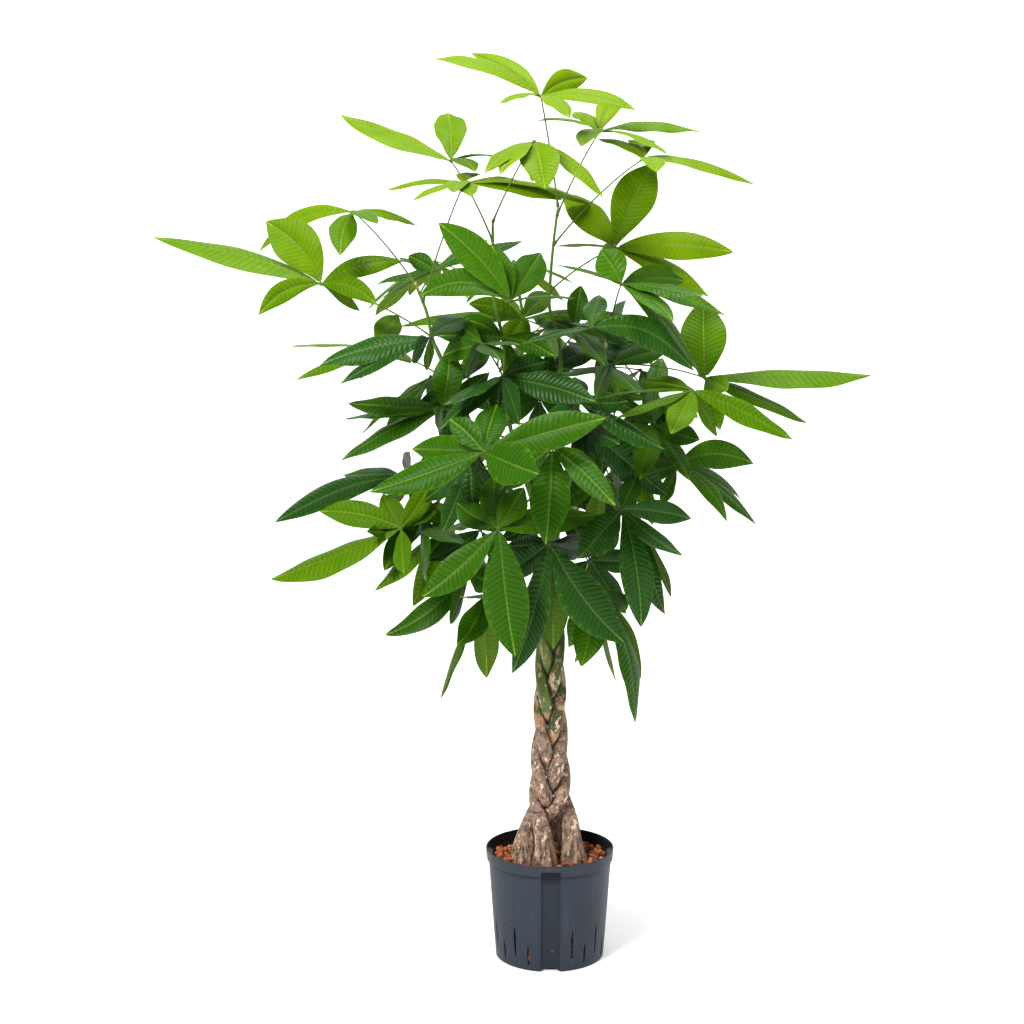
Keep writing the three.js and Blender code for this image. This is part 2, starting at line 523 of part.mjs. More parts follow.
// The clay granules: a fill up to CLAY_TOP, its surface covered with granules, and plain holes in it
// for the stems.
function makeClay() {
  const side = WALL + GAP;
  const bandFoot = POT_HEIGHT - RIM_BAND;
  const fill = turned([[0, FLOOR + GAP], [wallRadius(FLOOR) - side, FLOOR + GAP],
    [wallRadius(bandFoot) - side, bandFoot], [wallRadius(bandFoot) - side, CLAY_TOP], [0, CLAY_TOP]]);
  const granules = [];
  for (let count = 0; count < GRANULES; count += 1) {
    const spiral = count * Math.PI * (3 - Math.sqrt(5));
    const size = random(...GRANULE_RADIUS);
    const out = (WALL_TOP_RADIUS - side - size - 1) * Math.sqrt((count + 0.5) / GRANULES);
    const granule = new THREE.OctahedronGeometry(size, 0);
    granule.scale(1, random(0.75, 1), random(0.7, 0.95));
    granule.rotateX(random(0, Math.PI)).rotateZ(random(0, Math.PI));
    granule.translate(out * Math.cos(spiral), out * Math.sin(spiral), CLAY_TOP + random(-1.5, 1.5));
    granules.push(solidFrom(granule));
  }
  const holes = STEMS.map((_, index) => makeStem(index, GAP));
  return largest(join([fill, ...granules])
    .subtract(roundThePot(fluteHollow(side)))
    .subtract(join(holes)));
}

// The leaves.

// A stalk from inside its stem, or from the stalk that bears it, to its hub: it starts upwards and
// bends over to the hub. Its middle lies swing mm off to the side of the straight way, level.
function stalkCurve(leaf, swing) {
  const start = leaf.bearer ? leaf.bearer.stalkCurve.getPoint(TWIN_AT) : placeOnStem(leaf.stem, leaf.from);
  const span = leaf.hubPlace.clone().sub(start);
  const aside = new THREE.Vector3(-span.y, span.x, 0).normalize().multiplyScalar(swing);
  const rise = STALK_RISE * span.length();
  const bends = STALK_BENDS.map((share) =>
    start.clone().addScaledVector(span, share).addScaledVector(UP, rise).add(aside));
  return new THREE.CubicBezierCurve3(start, ...bends, leaf.hubPlace);
}

// The stalk with the knob at its end, which the blades grow from.
function makeStalk(leaf, swing, grown = 0) {
  const points = stalkCurve(leaf, swing).getPoints(STALK_STEPS);
  const radius = (step) => mix(STALK_RADIUS[0], STALK_RADIUS[1], step / STALK_STEPS) + grown;
  const knob = new THREE.OctahedronGeometry(HUB_RADIUS + grown, 0).translate(...leaf.hubPlace.toArray());
  return tube(points, radius, STALK_SIDES).add(solidFrom(knob));
}

// How a blade lies between its hub and its tip: the way it points, its upper side, and the way its
// width runs. It faces up, and is turned about its rib towards the viewer until it shows the width
// that is seen from the front.
function layBlade(hub, tip, width, shows) {
  const along = tip.clone().sub(hub).normalize();
  const upper = UP.clone().addScaledVector(along, -UP.dot(along));
  if (upper.length() < 0.15) upper.addScaledVector(BACK, -0.3);
  upper.addScaledVector(along, -upper.dot(along)).normalize();
  const level = new THREE.Vector3().crossVectors(upper, along);
  if (shows === undefined) return { along, upper, across: level };
  const sight = hub.clone().add(tip).multiplyScalar(0.5).sub(EYE).normalize();
  const side = Math.sign(level.dot(sight)) || 1;
  let across = level;
  let miss = Infinity;
  for (let turn = 0; turn <= 90; turn += 5) {
    const turned = level.clone().multiplyScalar(Math.cos(degrees(turn)))
      .addScaledVector(upper, side * Math.sin(degrees(turn)));
    const showing = width * turned.clone().addScaledVector(sight, -turned.dot(sight)).length();
    if (Math.abs(showing - shows) < miss - 0.5) {
      miss = Math.abs(showing - shows);
      across = turned;
    }
  }
  return { along, upper, across };
}

// One leaflet's blade, bowed over its length, with its rib standing out below.
// Grown, it is the room that the blade needs round it, without the stretch next to the hub.
function makeBlade(leaf, leaflet, tip, grown = 0) {
  const hub = leaf.hubPlace;
  const length = tip.distanceTo(hub);
  const width = leaflet.width ?? THREE.MathUtils.clamp(WIDTH_OF_LENGTH * length, leaflet.shows, WIDEST);
  const lie = layBlade(hub, tip, width, leaflet.shows);
  const outline = length > LONG_BLADE ? LONG_OUTLINE : SHORT_OUTLINE;
  const arch = leaflet.bow ?? valueAt(BLADE_BOW, hub.z);
  const bow = (t) => 4 * t * (1 - t) * arch * length;
  const middle = (t) => hub.clone().lerp(tip, t).addScaledVector(lie.upper, bow(t));
  const rings = outline.map(([t, share]) => {
    const along = middle(t + 0.02).sub(middle(t - 0.02)).normalize();
    const across = lie.across.clone().addScaledVector(along, -lie.across.dot(along)).normalize();
    const face = new THREE.Vector3().crossVectors(along, across);
    const half = (share * width) / 2 + 2 * grown;
    const corner = (sideways, above) =>
      middle(t).addScaledVector(across, sideways).addScaledVector(face, above + grown);
    return [corner(half, 0), corner(-half, 0), corner(0, -RIB_THICKNESS - 2 * grown)];
  });
  const beyond = tip.clone().addScaledVector(lie.along, grown);
  return loft(grown ? middle(BLADE_FOOT) : hub, rings, beyond);
}

// A leaflet as read from LEAVES. A blade that shows short points towards the viewer if its tip hangs
// below the hub, and away if it stands above.
function setLeaflet(leaf, [across, up, shows, back, bow]) {
  const short = Math.sqrt(Math.max(FULL_BLADE ** 2 - across ** 2 - up ** 2, 0));
  const depth = back ?? 0.8 * short * Math.sign(up || 1) + random(-12, 12);
  const tip = seen([leaf.hub[0] + across, leaf.hub[1] + up], leaf.y + depth);
  return { shows, bow, tip, slide: tip.clone().sub(EYE).normalize() };
}

// A leaflet of a leaf at the back, in its fan round the hub.
function setBackLeaflet(leaf, index) {
  const middle = (BACK_LEAFLETS - 1) / 2;
  const turn = degrees(leaf.bearing + (index - middle) * BACK_FAN + random(-9, 9));
  const droop = degrees(random(...BACK_DROOP));
  const length = mix(BACK_LENGTH[0], BACK_LENGTH[1], Math.abs(index - middle) / middle) * random(0.9, 1.08);
  const level = new THREE.Vector3(Math.cos(turn), Math.sin(turn), 0);
  const way = level.multiplyScalar(Math.cos(droop)).addScaledVector(UP, -Math.sin(droop));
  const tip = leaf.hubPlace.clone().addScaledVector(way, length);
  return { width: WIDTH_OF_LENGTH * length, tip, slide: UP };
}

// What has its place already: stems, stalks and blades, each with the node that it belongs to and its
// bounding box.
const placed = [];

function place(solid, node) {
  placed.push({ solid, node, box: solid.boundingBox() });
}

function touches(room, node) {
  const { min, max } = room.boundingBox();
  return placed.some((other) => other.node !== node
    && [0, 1, 2].every((axis) => min[axis] < other.box.max[axis] && max[axis] > other.box.min[axis])
    && !room.intersect(other.solid).isEmpty());
}

// Swings tried in turn: none, then a little to one side and to the other, and so on.
function* swings() {
  yield 0;
  for (let step = 1; step <= SWING_STEPS; step += 1) {
    yield step * SWING_STEP;
    yield -step * SWING_STEP;
  }
}

// The first swing that leaves a blade or stalk clear of all others, if there is one. make gives the
// piece at a swing, or the room that it needs round it.
function firstClear(node, make) {
  for (const swing of swings()) {
    if (!touches(make(swing, true), node) && !touches(make(swing, false), node)) return swing;
  }
  return undefined;
}

const leaves = Object.entries(LEAVES).map(([node, leaf]) =>
  ({ node, ...leaf, hubPlace: seen(leaf.hub, leaf.y) }));
leaves.forEach((leaf) => {
  leaf.leaflets = leaf.leaflets.map((row) => setLeaflet(leaf, row));
});
BACK_LEAVES.forEach((row, index) => {
  const leaf = { node: `leaf_back_${index + 1}`, ...row };
  const bearing = degrees(leaf.bearing);
  leaf.hubPlace = placeOnStem(leaf.stem, leaf.from)
    .add(new THREE.Vector3(leaf.out * Math.cos(bearing), leaf.out * Math.sin(bearing), leaf.rise));
  leaf.leaflets = Array.from({ length: BACK_LEAFLETS }, (_, each) => setBackLeaflet(leaf, each));
  leaves.push(leaf);
});
TWINS.forEach(({ on, ...row }) => {
  const leaf = { node: on, bearer: leaves.find(({ node }) => node === on), ...row };
  leaf.hubPlace = seen(leaf.hub, leaf.y);
  leaf.leaflets = leaf.leaflets.map((leaflet) => setLeaflet(leaf, leaflet));
  leaves.push(leaf);
});

const stems = STEMS.map((_, index) => makeStem(index));
stems.forEach((solid) => place(solid));

// The stalks take their places first, each cut to the stem that it grows on, and then the blades,
// leaf by leaf. A leaflet deep in the crown that finds no room there doesn't grow.
leaves.forEach((leaf) => {
  const make = (swing, roomy) => {
    const room = roomy ? CLEAR_ROUND_STALK : 0;
    const stalk = makeStalk(leaf, swing, room);
    return leaf.bearer ? stalk : largest(stalk.subtract(makeStem(leaf.stem, GAP + room)));
  };
  const swing = firstClear(leaf.node, make);
  if (swing === undefined) throw new Error(`${leaf.node}: no room for its stalk`);
  leaf.stalkCurve = stalkCurve(leaf, swing);
  leaf.stalk = make(swing, false);
  place(leaf.stalk, leaf.node);
});
leaves.forEach((leaf) => {
  leaf.blades = leaf.leaflets.flatMap((leaflet) => {
    const make = (swing, roomy) => {
      const tip = leaflet.tip.clone().addScaledVector(leaflet.slide, swing);
      return makeBlade(leaf, leaflet, tip, roomy ? CLEAR_ROUND_BLADE : 0);
    };
    const swing = firstClear(leaf.node, make);
    return swing === undefined ? [] : [make(swing, false)];
  });
  leaf.blades.forEach((blade) => place(blade, leaf.node));
});

const plant = new THREE.Group();

function add(name, solid, look) {
  const mesh = new THREE.Mesh(geometryFrom(solid), LOOKS[look]);
  mesh.name = name;
  plant.add(mesh);
}

add("pot", makePot(), "pot");
add("clay_granules", makeClay(), "clay");
STEMS.forEach(({ name }, index) => add(name, stems[index], "bark"));
leaves.filter(({ bearer }) => !bearer).forEach(({ node, look }) => {
  const own = leaves.filter((leaf) => leaf.node === node);
  add(node, join(own.flatMap(({ stalk, blades }) => [stalk, ...blades])), look);
});

export default plant;
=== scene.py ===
"""A potted money tree: braided stems in a slotted plastic growing pot full of clay granules, under a
crown of long-stalked leaves. Lengths are in millimetres until a mesh is made, and the viewer of the
front stands towards -Y."""

import json
import math
from collections import namedtuple
import bpy
import numpy as np
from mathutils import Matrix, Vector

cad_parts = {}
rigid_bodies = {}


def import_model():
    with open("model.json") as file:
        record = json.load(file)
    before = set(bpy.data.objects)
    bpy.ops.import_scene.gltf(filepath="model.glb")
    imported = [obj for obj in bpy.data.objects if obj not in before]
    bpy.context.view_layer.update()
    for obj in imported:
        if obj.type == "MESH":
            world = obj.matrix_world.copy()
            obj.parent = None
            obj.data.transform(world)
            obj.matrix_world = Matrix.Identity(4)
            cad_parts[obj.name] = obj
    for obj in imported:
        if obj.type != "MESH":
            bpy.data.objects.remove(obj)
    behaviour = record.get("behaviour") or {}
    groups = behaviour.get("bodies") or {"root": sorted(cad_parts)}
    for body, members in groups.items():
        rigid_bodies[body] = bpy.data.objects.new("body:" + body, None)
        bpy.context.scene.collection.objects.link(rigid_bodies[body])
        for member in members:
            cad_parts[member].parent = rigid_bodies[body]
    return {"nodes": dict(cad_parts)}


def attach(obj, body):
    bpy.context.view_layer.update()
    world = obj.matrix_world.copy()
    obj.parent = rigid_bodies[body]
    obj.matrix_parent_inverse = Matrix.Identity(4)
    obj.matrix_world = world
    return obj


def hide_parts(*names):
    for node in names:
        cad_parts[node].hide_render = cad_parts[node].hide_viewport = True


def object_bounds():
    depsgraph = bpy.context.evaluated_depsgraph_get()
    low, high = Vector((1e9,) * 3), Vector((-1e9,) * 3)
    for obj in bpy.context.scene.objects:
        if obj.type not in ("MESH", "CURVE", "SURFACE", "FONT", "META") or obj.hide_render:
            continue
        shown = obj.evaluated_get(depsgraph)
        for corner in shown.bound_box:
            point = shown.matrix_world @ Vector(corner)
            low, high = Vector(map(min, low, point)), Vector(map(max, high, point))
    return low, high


for leftover in list(bpy.data.objects):
    bpy.data.objects.remove(leftover)
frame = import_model()
solid_box = [list(corner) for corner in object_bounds()]
MM = 0.001
UP = np.array([0.0, 0.0, 1.0])
BACK = np.array([0.0, 1.0, 0.0])
TURN = 2 * math.pi

# The camera: a place on the plant is given as seen from it, in millimetres across and up from the
# middle of the view on a plane SIGHT mm away, and then its depth, y.
EYE = np.array([-65.0, -3000.0, 1177.0])
SIGHT = 3000
LOOKING_DOWN = math.radians(7.7)
LENS_PIXELS = 1800
VIEW_PIXELS = 1024
SENSOR = 36

# The pot.
POT_HEIGHT = 190
RIM_RADIUS = 110
RIM_BAND = 20
WALL_TOP_RADIUS = 106
BASE_RADIUS = 94
WALL = 2.5
FLOOR = 8
FLUTE = {"half_width": 16, "depth": 6, "below_rim": 11.5, "edge": 1.8}
NOTCH = {"height": 6, "radius": 21.75, "length": 14}
SLOT_ANGLES = [22, 37, 52, 67]
HIGH_SLOT = (22, 73)
LOW_SLOT = (10, 43)
SLOT_HALF_WIDTH = (1.3, 2.3)
CLAY_TOP = 171

# The stems.
STEM_FOOT = CLAY_TOP - 50
BRAID_TURN = 400
BRAID_CROSSING = 453
BRAID_STARTS = (CLAY_TOP, 300)
BRAID_ENDS = (640, 880)
BRAID_STEP = 23
SHOOT_STEP = 42
SHOOT_PLACES = 120
BRAID_WIDTH = [[170, 27], [257, 24], [324, 21.4], [391, 17.7], [458, 16.6], [526, 15], [700, 13.5],
               [900, 13]]
BRAID_DEPTH = 1.25
# How far the braid's loops are squared.
BRAID_SQUARED = 0.1
STEM_RADIUS = [[120, 20], [176, 20], [205, 15.5], [257, 12.5], [324, 11.5], [400, 10.2], [525, 8.8],
               [700, 7.6], [800, 6.2], [900, 4.6], [1300, 2.8]]
STEM_SIDES = 28
FINE_STEP = 5

# The leaves, as their solids have them.
STALK_STEPS = 4
STALK_RADIUS = (2.1, 1.5)
STALK_RISE = 0.07
STALK_BENDS = (0.3, 0.72)
# A stalk starts at least this far below its stem's tip, and a twig at this share of its bearer's stalk.
BELOW_TIP = 2
TWIN_AT = 0.34
# How far a blade arches up, as a share of its length, by the height of its hub.
BLADE_BOW = [[700, -0.03], [850, 0], [1000, 0.03], [1200, 0.045], [1330, 0.085]]
WIDTH_OF_LENGTH = 0.27
WIDEST = 74
FULL_BLADE = 165
# How far a stalk or blade was swung aside to clear its neighbours, in the order that the swings were tried.
SWING_STEP = 14
SWINGS = [0, *(sign * step * SWING_STEP for step in range(1, 17) for sign in (1, -1))]
BACK_LEAFLETS = 5
BACK_FAN = 54
BACK_DROOP = (18, 44)
BACK_LENGTH = (175, 115)
# How far the draws move the depth of a tip, the turn of a leaflet at the back in degrees, and its length.
TIP_DEPTH_DRAW = (-12, 12)
BACK_TURN_DRAW = (-9, 9)
BACK_LENGTH_DRAW = (0.9, 1.08)
# How much of the length that a leaflet seems to lack goes into its slope.
SLOPED = 0.8
# A leaflet whose tip is this far from every corner of its solid isn't there, in mm.
NOT_THERE = 0.5

# The stems' feet in the clay, and the places that their shoots pass, each across, up and its depth.
STEMS = [
    {"name": "stem_back", "foot": [12, 44], "shoot": [
        [5, -30, 10], [-25, 45, 15], [-57, 120, 20], [-75, 162, 20], [-102, 220, 15], [-132, 287, 10],
        [-142, 332, 5], [-162, 383, 0]]},
    {"name": "stem_front", "foot": [-10, -45], "shoot": [
        [62, -30, -5], [72, 60, -10], [83, 183, -10], [82, 233, -5], [77, 292, 0], [63, 338, 5],
        [63, 370, 5], [68, 437, 0], [77, 512, 0]]},
    {"name": "stem_left", "foot": [-46, -14], "shoot": [
        [76, -30, -5], [100, 60, -5], [124, 130, -5], [147, 205, -5], [158, 285, 0]]},
    {"name": "stem_hidden", "foot": [-34, 36], "shoot": [
        [60, -30, 15], [52, 60, 50], [45, 140, 80], [36, 230, 105], [18, 330, 120], [5, 400, 130]]},
    {"name": "stem_right", "foot": [42, -16], "shoot": [
        [40, -30, -20], [18, 60, -40], [-7, 162, -45], [-12, 220, -40], [-15, 287, -35], [-30, 353, -30],
        [-32, 453, -30], [-32, 487, -30]]},
]
# The same stems, named by where their shoots rise.
LEFT, MIDDLE, RIGHT, REAR, FRONT = 0, 1, 2, 3, 4

# The leaves, numbered in each group: the hub across and up, its depth, the stem, the height where the
# leaf leaves it, the look, and the leaflets. A leaflet has how far its tip lies across and up from the hub,
# the width that shows, and for some how far back the tip lies and how far the blade arches, as a share of
# its length.
LEAVES = {
    "top": [
        (48, 693, -20, MIDDLE, 1278, "light", [[-180, 62, 15], [-117, 73, 30], [78, 30, 37], [158, -23, 18],
         [-68, -13, 20], [48, -37, 25]]),
        (147, 635, 40, MIDDLE, 1262, "light", [[-105, 17, 8], [-42, 32, 20], [37, 55, 33], [167, -2, 12],
         [113, -40, 20], [-32, -27, 30]]),
        (218, 588, -40, MIDDLE, 1215, "light", [[-77, 33, 8], [-5, 27, 42], [188, -43, 10], [23, -22, 25],
         [72, -8, 16, 90]]),
        (-80, 547, -70, LEFT, 1122, "light", [[165, -27, 30, 60, 0.07], [210, -35, 8, 80],
         [-132, -12, 10, 40], [-88, -30, 13, -60], [-17, -15, 25], [23, 15, 8], [12, -22, 20]]),
        (-102, 585, 60, FRONT, 1221, "light", [[-183, 77, 30, 60, 0.02], [-5, 80, 53], [107, -2, 15],
         [40, -18, 10]]),
        (37, 617, -100, FRONT, 1252, "light", [[-57, -55, 23], [-82, -52, 8], [18, -80, 58],
         [-3, -67, 23, 60], [115, -93, 20]]),
    ],
    "right": [
        (172, 440, 20, MIDDLE, 1140, "light", [[-88, 93, 43], [67, 142, 67], [197, -7, 37], [157, -82, 27],
         [-100, 2, 20], [-30, -40, 13]]),
        (182, 380, -110, RIGHT, 1060, "middle", [[-112, 32, 15], [-35, 57, 50], [105, 5, 37],
         [137, -20, 17], [173, -52, 20], [87, -62, 24], [128, -143, 26, 60, 0.08]]),
        (322, 223, 20, RIGHT, 1018, "light", [[-3, 128, 73], [277, 5, 27], [170, -75, 20],
         [25, -87, 33, -50], [38, -20, 30], [-22, 47, 20]]),
        (300, 203, -120, RIGHT, 985, "light", [[168, -82, 30], [-35, -73, 43], [42, -77, 20, 50],
         [-85, 15, 27], [-128, -48, 17]]),
        (275, 77, -40, RIGHT, 880, "middle", [[128, 3, 47, 40, 0.13], [132, -98, 20, 20, 0.08],
         [83, -93, 20, -60, 0.12], [107, -57, 20, 50, 0.1], [18, -23, 8, 60], [-37, 35, 30, 90],
         [-52, -10, 33, 70]]),
        (183, 5, -160, RIGHT, 905, "dark", [[-73, -83, 53], [32, -197, 43, -40, 0.1], [103, -78, 25],
         [72, -68, 17, 60], [82, -147, 23, 70, 0.08], [-13, 63, 23], [25, 57, 33, 60]]),
        (207, 83, 80, RIGHT, 930, "light", [[85, -95, 23, 60, -0.2], [27, -105, 37, 40], [-40, -30, 30],
         [53, 37, 27], [-18, 53, 33]]),
        (133, 307, -170, MIDDLE, 1040, "dark", [[170, -72, 40, 60, 0.16], [-28, 3, 23], [-117, -27, 20],
         [13, 55, 33], [63, -28, 23, 80]]),
        (162, 283, 100, RIGHT, 1040, "middle", [[28, 70, 25], [67, 7, 13], [-32, 70, 20],
         [77, -17, 17, 60]]),
        (163, 243, -70, RIGHT, 1000, "middle", [[95, 27, 30], [-90, -15, 23], [-70, 43, 25], [-25, -57, 30],
         [50, -48, 27], [17, -57, 23, 60]]),
        (113, 182, -190, RIGHT, 960, "dark", [[-8, 43, 33], [147, 23, 20], [142, -78, 23], [-58, -37, 30],
         [-47, 38, 23]]),
    ],
    "left": [
        (-318, 380, -20, LEFT, 1063, "light", [[-280, 78, 30], [-92, 104, 70, 40, 0.09],
         [-105, -53, 30, -40, 0.12], [138, 38, 27, 50, 0.1], [93, -35, 30, -60, 0.1], [65, -45, 17, 60]]),
        (-265, 500, 40, LEFT, 1148, "light", [[-158, -68, 22, 30, 0.15], [-22, -73, 43], [40, -20, 23],
         [110, -25, 15, 60, 0.1]]),
        (-128, 402, 50, LEFT, 1135, "middle", [[-58, 22, 25], [-98, -22, 10], [-93, -48, 15, 70],
         [147, 50, 17], [87, 52, 27]]),
        (-223, 273, -30, LEFT, 985, "light", [[-147, 3, 17], [-137, -53, 15], [-37, -50, 25], [53, -25, 23],
         [33, 55, 42], [83, 2, 13]]),
        (-137, 290, -140, LEFT, 1010, "dark", [[-183, -45, 33], [-150, -77, 17], [-30, -40, 13],
         [-5, -55, 13, 50], [67, 33, 30]]),
        (-115, 173, -60, LEFT, 915, "middle", [[-158, 8, 30], [-165, -18, 15, 50], [-170, -87, 23],
         [12, 97, 47], [78, 60, 27], [-8, -37, 23]]),
        (-47, 100, -300, FRONT, 925, "middle", [[22, 80, 47], [-120, 5, 43], [-192, -67, 37], [205, 57, 47],
         [92, -37, 63]]),
    ],
    "front": [
        (-2, 352, -170, FRONT, 1085, "middle", [[-120, 130, 50], [-152, 7, 40, 60, 0.14], [50, 80, 50],
         [-32, 93, 33, 70], [107, 5, 20]]),
        (17, 322, 30, MIDDLE, 1065, "light", [[-42, 23, 33], [47, 43, 33], [-205, -13, 17], [173, 3, 13],
         [13, -60, 27]]),
        (-50, 280, -100, FRONT, 995, "middle", [[-28, -55, 17], [-75, 13, 20], [-53, 37, 23, 80],
         [30, -27, 23], [63, -2, 20]]),
        (68, 107, -265, MIDDLE, 915, "middle", [[-12, -162, 58], [105, -97, 33], [-88, -70, 40, 80],
         [78, -37, 33, 60]]),
        (-22, -27, -250, FRONT, 860, "middle", [[28, -215, 67], [-128, -115, 47], [-70, 43, 42],
         [165, 23, 43, 170], [-28, -45, 10, 30], [42, 68, 42, 70], [-8, 88, 43, 90]]),
        (62, -52, -190, MIDDLE, 850, "dark", [[127, -167, 67], [-62, -217, 42, 40], [7, -178, 50, 60],
         [78, 25, 25], [-75, -48, 45, 70], [-72, -5, 33, 100], [62, -8, 36, 100]]),
        (-17, 225, -150, FRONT, 960, "dark", [[-95, -47, 23], [-103, -88, 27], [158, -42, 40],
         [30, -80, 30], [63, 8, 27], [-45, -52, 23, 60]]),
        (120, 140, -110, RIGHT, 935, "dark", [[140, -113, 53], [10, -70, 37], [-65, -20, 33],
         [60, -28, 30]]),
        (142, -130, -70, MIDDLE, 825, "middle", [[63, -222, 23, -20, 0.1], [73, -148, 30, 60, 0.1],
         [32, -155, 30, 110], [-27, -128, 52], [-38, -123, 24, 60], [50, -33, 33]]),
    ],
    "inner": [
        (238, 145, -30, RIGHT, 950, "middle", [[-92, -42, 33], [-25, -92, 37], [75, -25, 33], [58, -92, 27],
         [-8, 67, 30]]),
        (-95, 212, -20, LEFT, 960, "dark", [[-67, -58, 33], [-25, -92, 30], [75, -42, 33], [58, 58, 30]]),
        (80, 20, 70, REAR, 870, "dark", [[-100, -67, 40], [67, -100, 43], [133, 0, 33], [-67, 67, 37],
         [50, 92, 33]]),
        (47, 187, 60, REAR, 950, "dark", [[-100, -50, 37], [83, -50, 37], [-67, 83, 33], [58, 83, 30],
         [0, -83, 33]]),
        (-70, 78, -130, LEFT, 890, "dark", [[-47, -112, 32, 10], [52, -62, 42, 70], [-45, -42, 20, 60],
         [-75, -58, 30, 90], [20, 60, 33, 120]]),
    ],
    "low_left": [
        (-185, -27, -90, LEFT, 850, "light", [[-135, 28, 43, 40, 0.08], [-217, -85, 37, 40, -0.01],
         [5, -75, 27], [52, 80, 33], [-30, 58, 40], [65, 47, 23, 90]]),
        (-178, 60, 40, LEFT, 885, "dark", [[-217, -77, 33, -40, 0.07], [-103, 2, 30], [8, 40, 17],
         [58, -83, 23], [-30, -62, 32, 60]]),
        (-112, -30, -30, LEFT, 815, "light", [[-117, -102, 20], [-52, -127, 20, 50], [42, 17, 23],
         [-25, 42, 23]]),
        (-72, -102, -40, FRONT, 800, "middle", [[-140, -103, 34, -20, -0.05], [-32, -85, 24],
         [42, -22, 42, 30], [22, 32, 30]]),
        (-42, -135, -110, FRONT, 775, "middle", [[-50, -87, 42], [-77, -178, 15, 20, 0.05],
         [0, -142, 33, 50], [-42, -5, 13]]),
    ],
}

# Second leaves on some of the stalks: the leaf whose stalk bears each, then the hub, depth and leaflets.
TWINS = [
    ("inner_1", 147, 53, 60, [[-75, -45, 33, 40], [-15, -95, 36, 30], [70, -70, 30, 60], [85, 20, 30, 80],
     [10, 75, 33, 60]]),
    ("inner_2", -112, 120, 40, [[-55, -80, 33, 40], [15, -95, 36, 30], [70, -50, 30, 60],
     [40, 60, 30, 90]]),
    ("inner_3", 130, -80, 30, [[60, -90, 36, 20], [-10, -105, 36, 40], [78, 5, 40, 50], [-85, -60, 33, 60],
     [48, 58, 38, 30]]),
    ("inner_4", 147, 270, 120, [[80, -20, 33], [20, -80, 36], [-75, -30, 33], [-60, 55, 30], [30, 70, 33]]),
    ("inner_5", -53, -30, 20, [[-90, -50, 33], [-20, -100, 36], [60, -70, 33], [70, 30, 30],
     [-50, 60, 30]]),
    ("front_3", -15, 290, -60, [[-108, 4, 33, 40], [-72, 32, 30, 90], [30, -85, 33, 60], [85, -30, 33, 90],
     [-70, -45, 33, 70]]),
    ("right_9", 230, 187, 70, [[80, -30, 30], [40, -80, 33], [-50, -70, 33], [-80, 10, 30], [20, 70, 33]]),
    ("right_10", 105, 303, 0, [[-70, 20, 30], [-30, -70, 33], [50, -60, 30], [90, 0, 30], [10, 75, 33]]),
    ("left_6", -153, -13, 10, [[-90, -20, 33], [-60, -85, 36], [10, -100, 36], [70, -40, 30],
     [-20, 60, 30]]),
]

# The leaves at the back: stem, height, bearing, how far out and up the hub lies, and look.
BACK_LEAVES = [
    (REAR, 1130, 95, 115, 60, "light"),
    (REAR, 1065, 38, 180, 5, "light"),
    (REAR, 1100, 145, 190, 90, "light"),
    (REAR, 1050, 80, 200, 20, "middle"),
    (REAR, 990, 20, 200, 10, "middle"),
    (REAR, 960, 165, 190, 30, "middle"),
    (REAR, 905, 115, 210, -20, "dark"),
    (REAR, 860, 60, 200, -50, "dark"),
    (LEFT, 830, 130, 170, -60, "dark"),
]


def unit(vector):
    return vector / np.linalg.norm(vector)


def units(vectors):
    return vectors / np.linalg.norm(vectors, axis=-1, keepdims=True)


def smoothstep(low, high, value):
    share = np.clip((value - low) / (high - low), 0, 1)
    return share * share * (3 - 2 * share)


def mix(low, high, share):
    return low + (high - low) * share


def around(out, turn, z):
    """The place at a distance from an axis, a turn round it and a height."""
    return [out * math.cos(turn), out * math.sin(turn), z]


def table_at(rows, place):
    places, values = zip(*rows)
    return np.interp(place, places, values)


def guide_of(way):
    """A direction well off a tube's way, to lay its rings by."""
    return BACK if abs(way[1]) < 0.8 else UP


def place_at(path, z):
    """Where a path, given by its places, lies at a height."""
    return np.array([np.interp(z, path[:, 2], path[:, axis]) for axis in (0, 1)])


def seen(across, up, y):
    """The place that the camera sees across and up, at a depth."""
    ray = np.array([
        across,
        SIGHT * math.cos(LOOKING_DOWN) + up * math.sin(LOOKING_DOWN),
        up * math.cos(LOOKING_DOWN) - SIGHT * math.sin(LOOKING_DOWN),
    ])
    return EYE + ray * (y - EYE[1]) / ray[1]


# Random draws, the same in every run: those that the solids were made with, in the same order.
class Draws:
    def __init__(self, seed):
        self.draw = seed

    def between(self, low, high):
        self.draw = (self.draw * 1664525 + 1013904223) % 2**32
        return low + (high - low) * self.draw / 2**32


draws = Draws(20260)


# The stems' paths.

def spline_through(points, count):
    """Places along a centripetal curve through points."""
    points = np.array(points, dtype=float)
    last = len(points) - 1
    before = 2 * points[0] - points[1]
    after = 2 * points[last] - points[last - 1]
    knots = [before, *points, after]
    places = []
    for index in range(count + 1):
        along = last * index / count
        start = min(int(along), last - 1)
        p0, p1, p2, p3 = knots[start:start + 4]
        d0, d1, d2 = (np.sum((b - a) ** 2) ** 0.25 for a, b in ((p0, p1), (p1, p2), (p2, p3)))
        slope1 = ((p1 - p0) / d0 - (p2 - p0) / (d0 + d1) + (p2 - p1) / d1) * d1
        slope2 = ((p2 - p1) / d1 - (p3 - p1) / (d1 + d2) + (p3 - p2) / d2) * d1
        t = along - start
        places.append(p1 + slope1 * t + (3 * (p2 - p1) - 2 * slope1 - slope2) * t**2
                      + (2 * (p1 - p2) + slope1 + slope2) * t**3)
    return np.array(places)


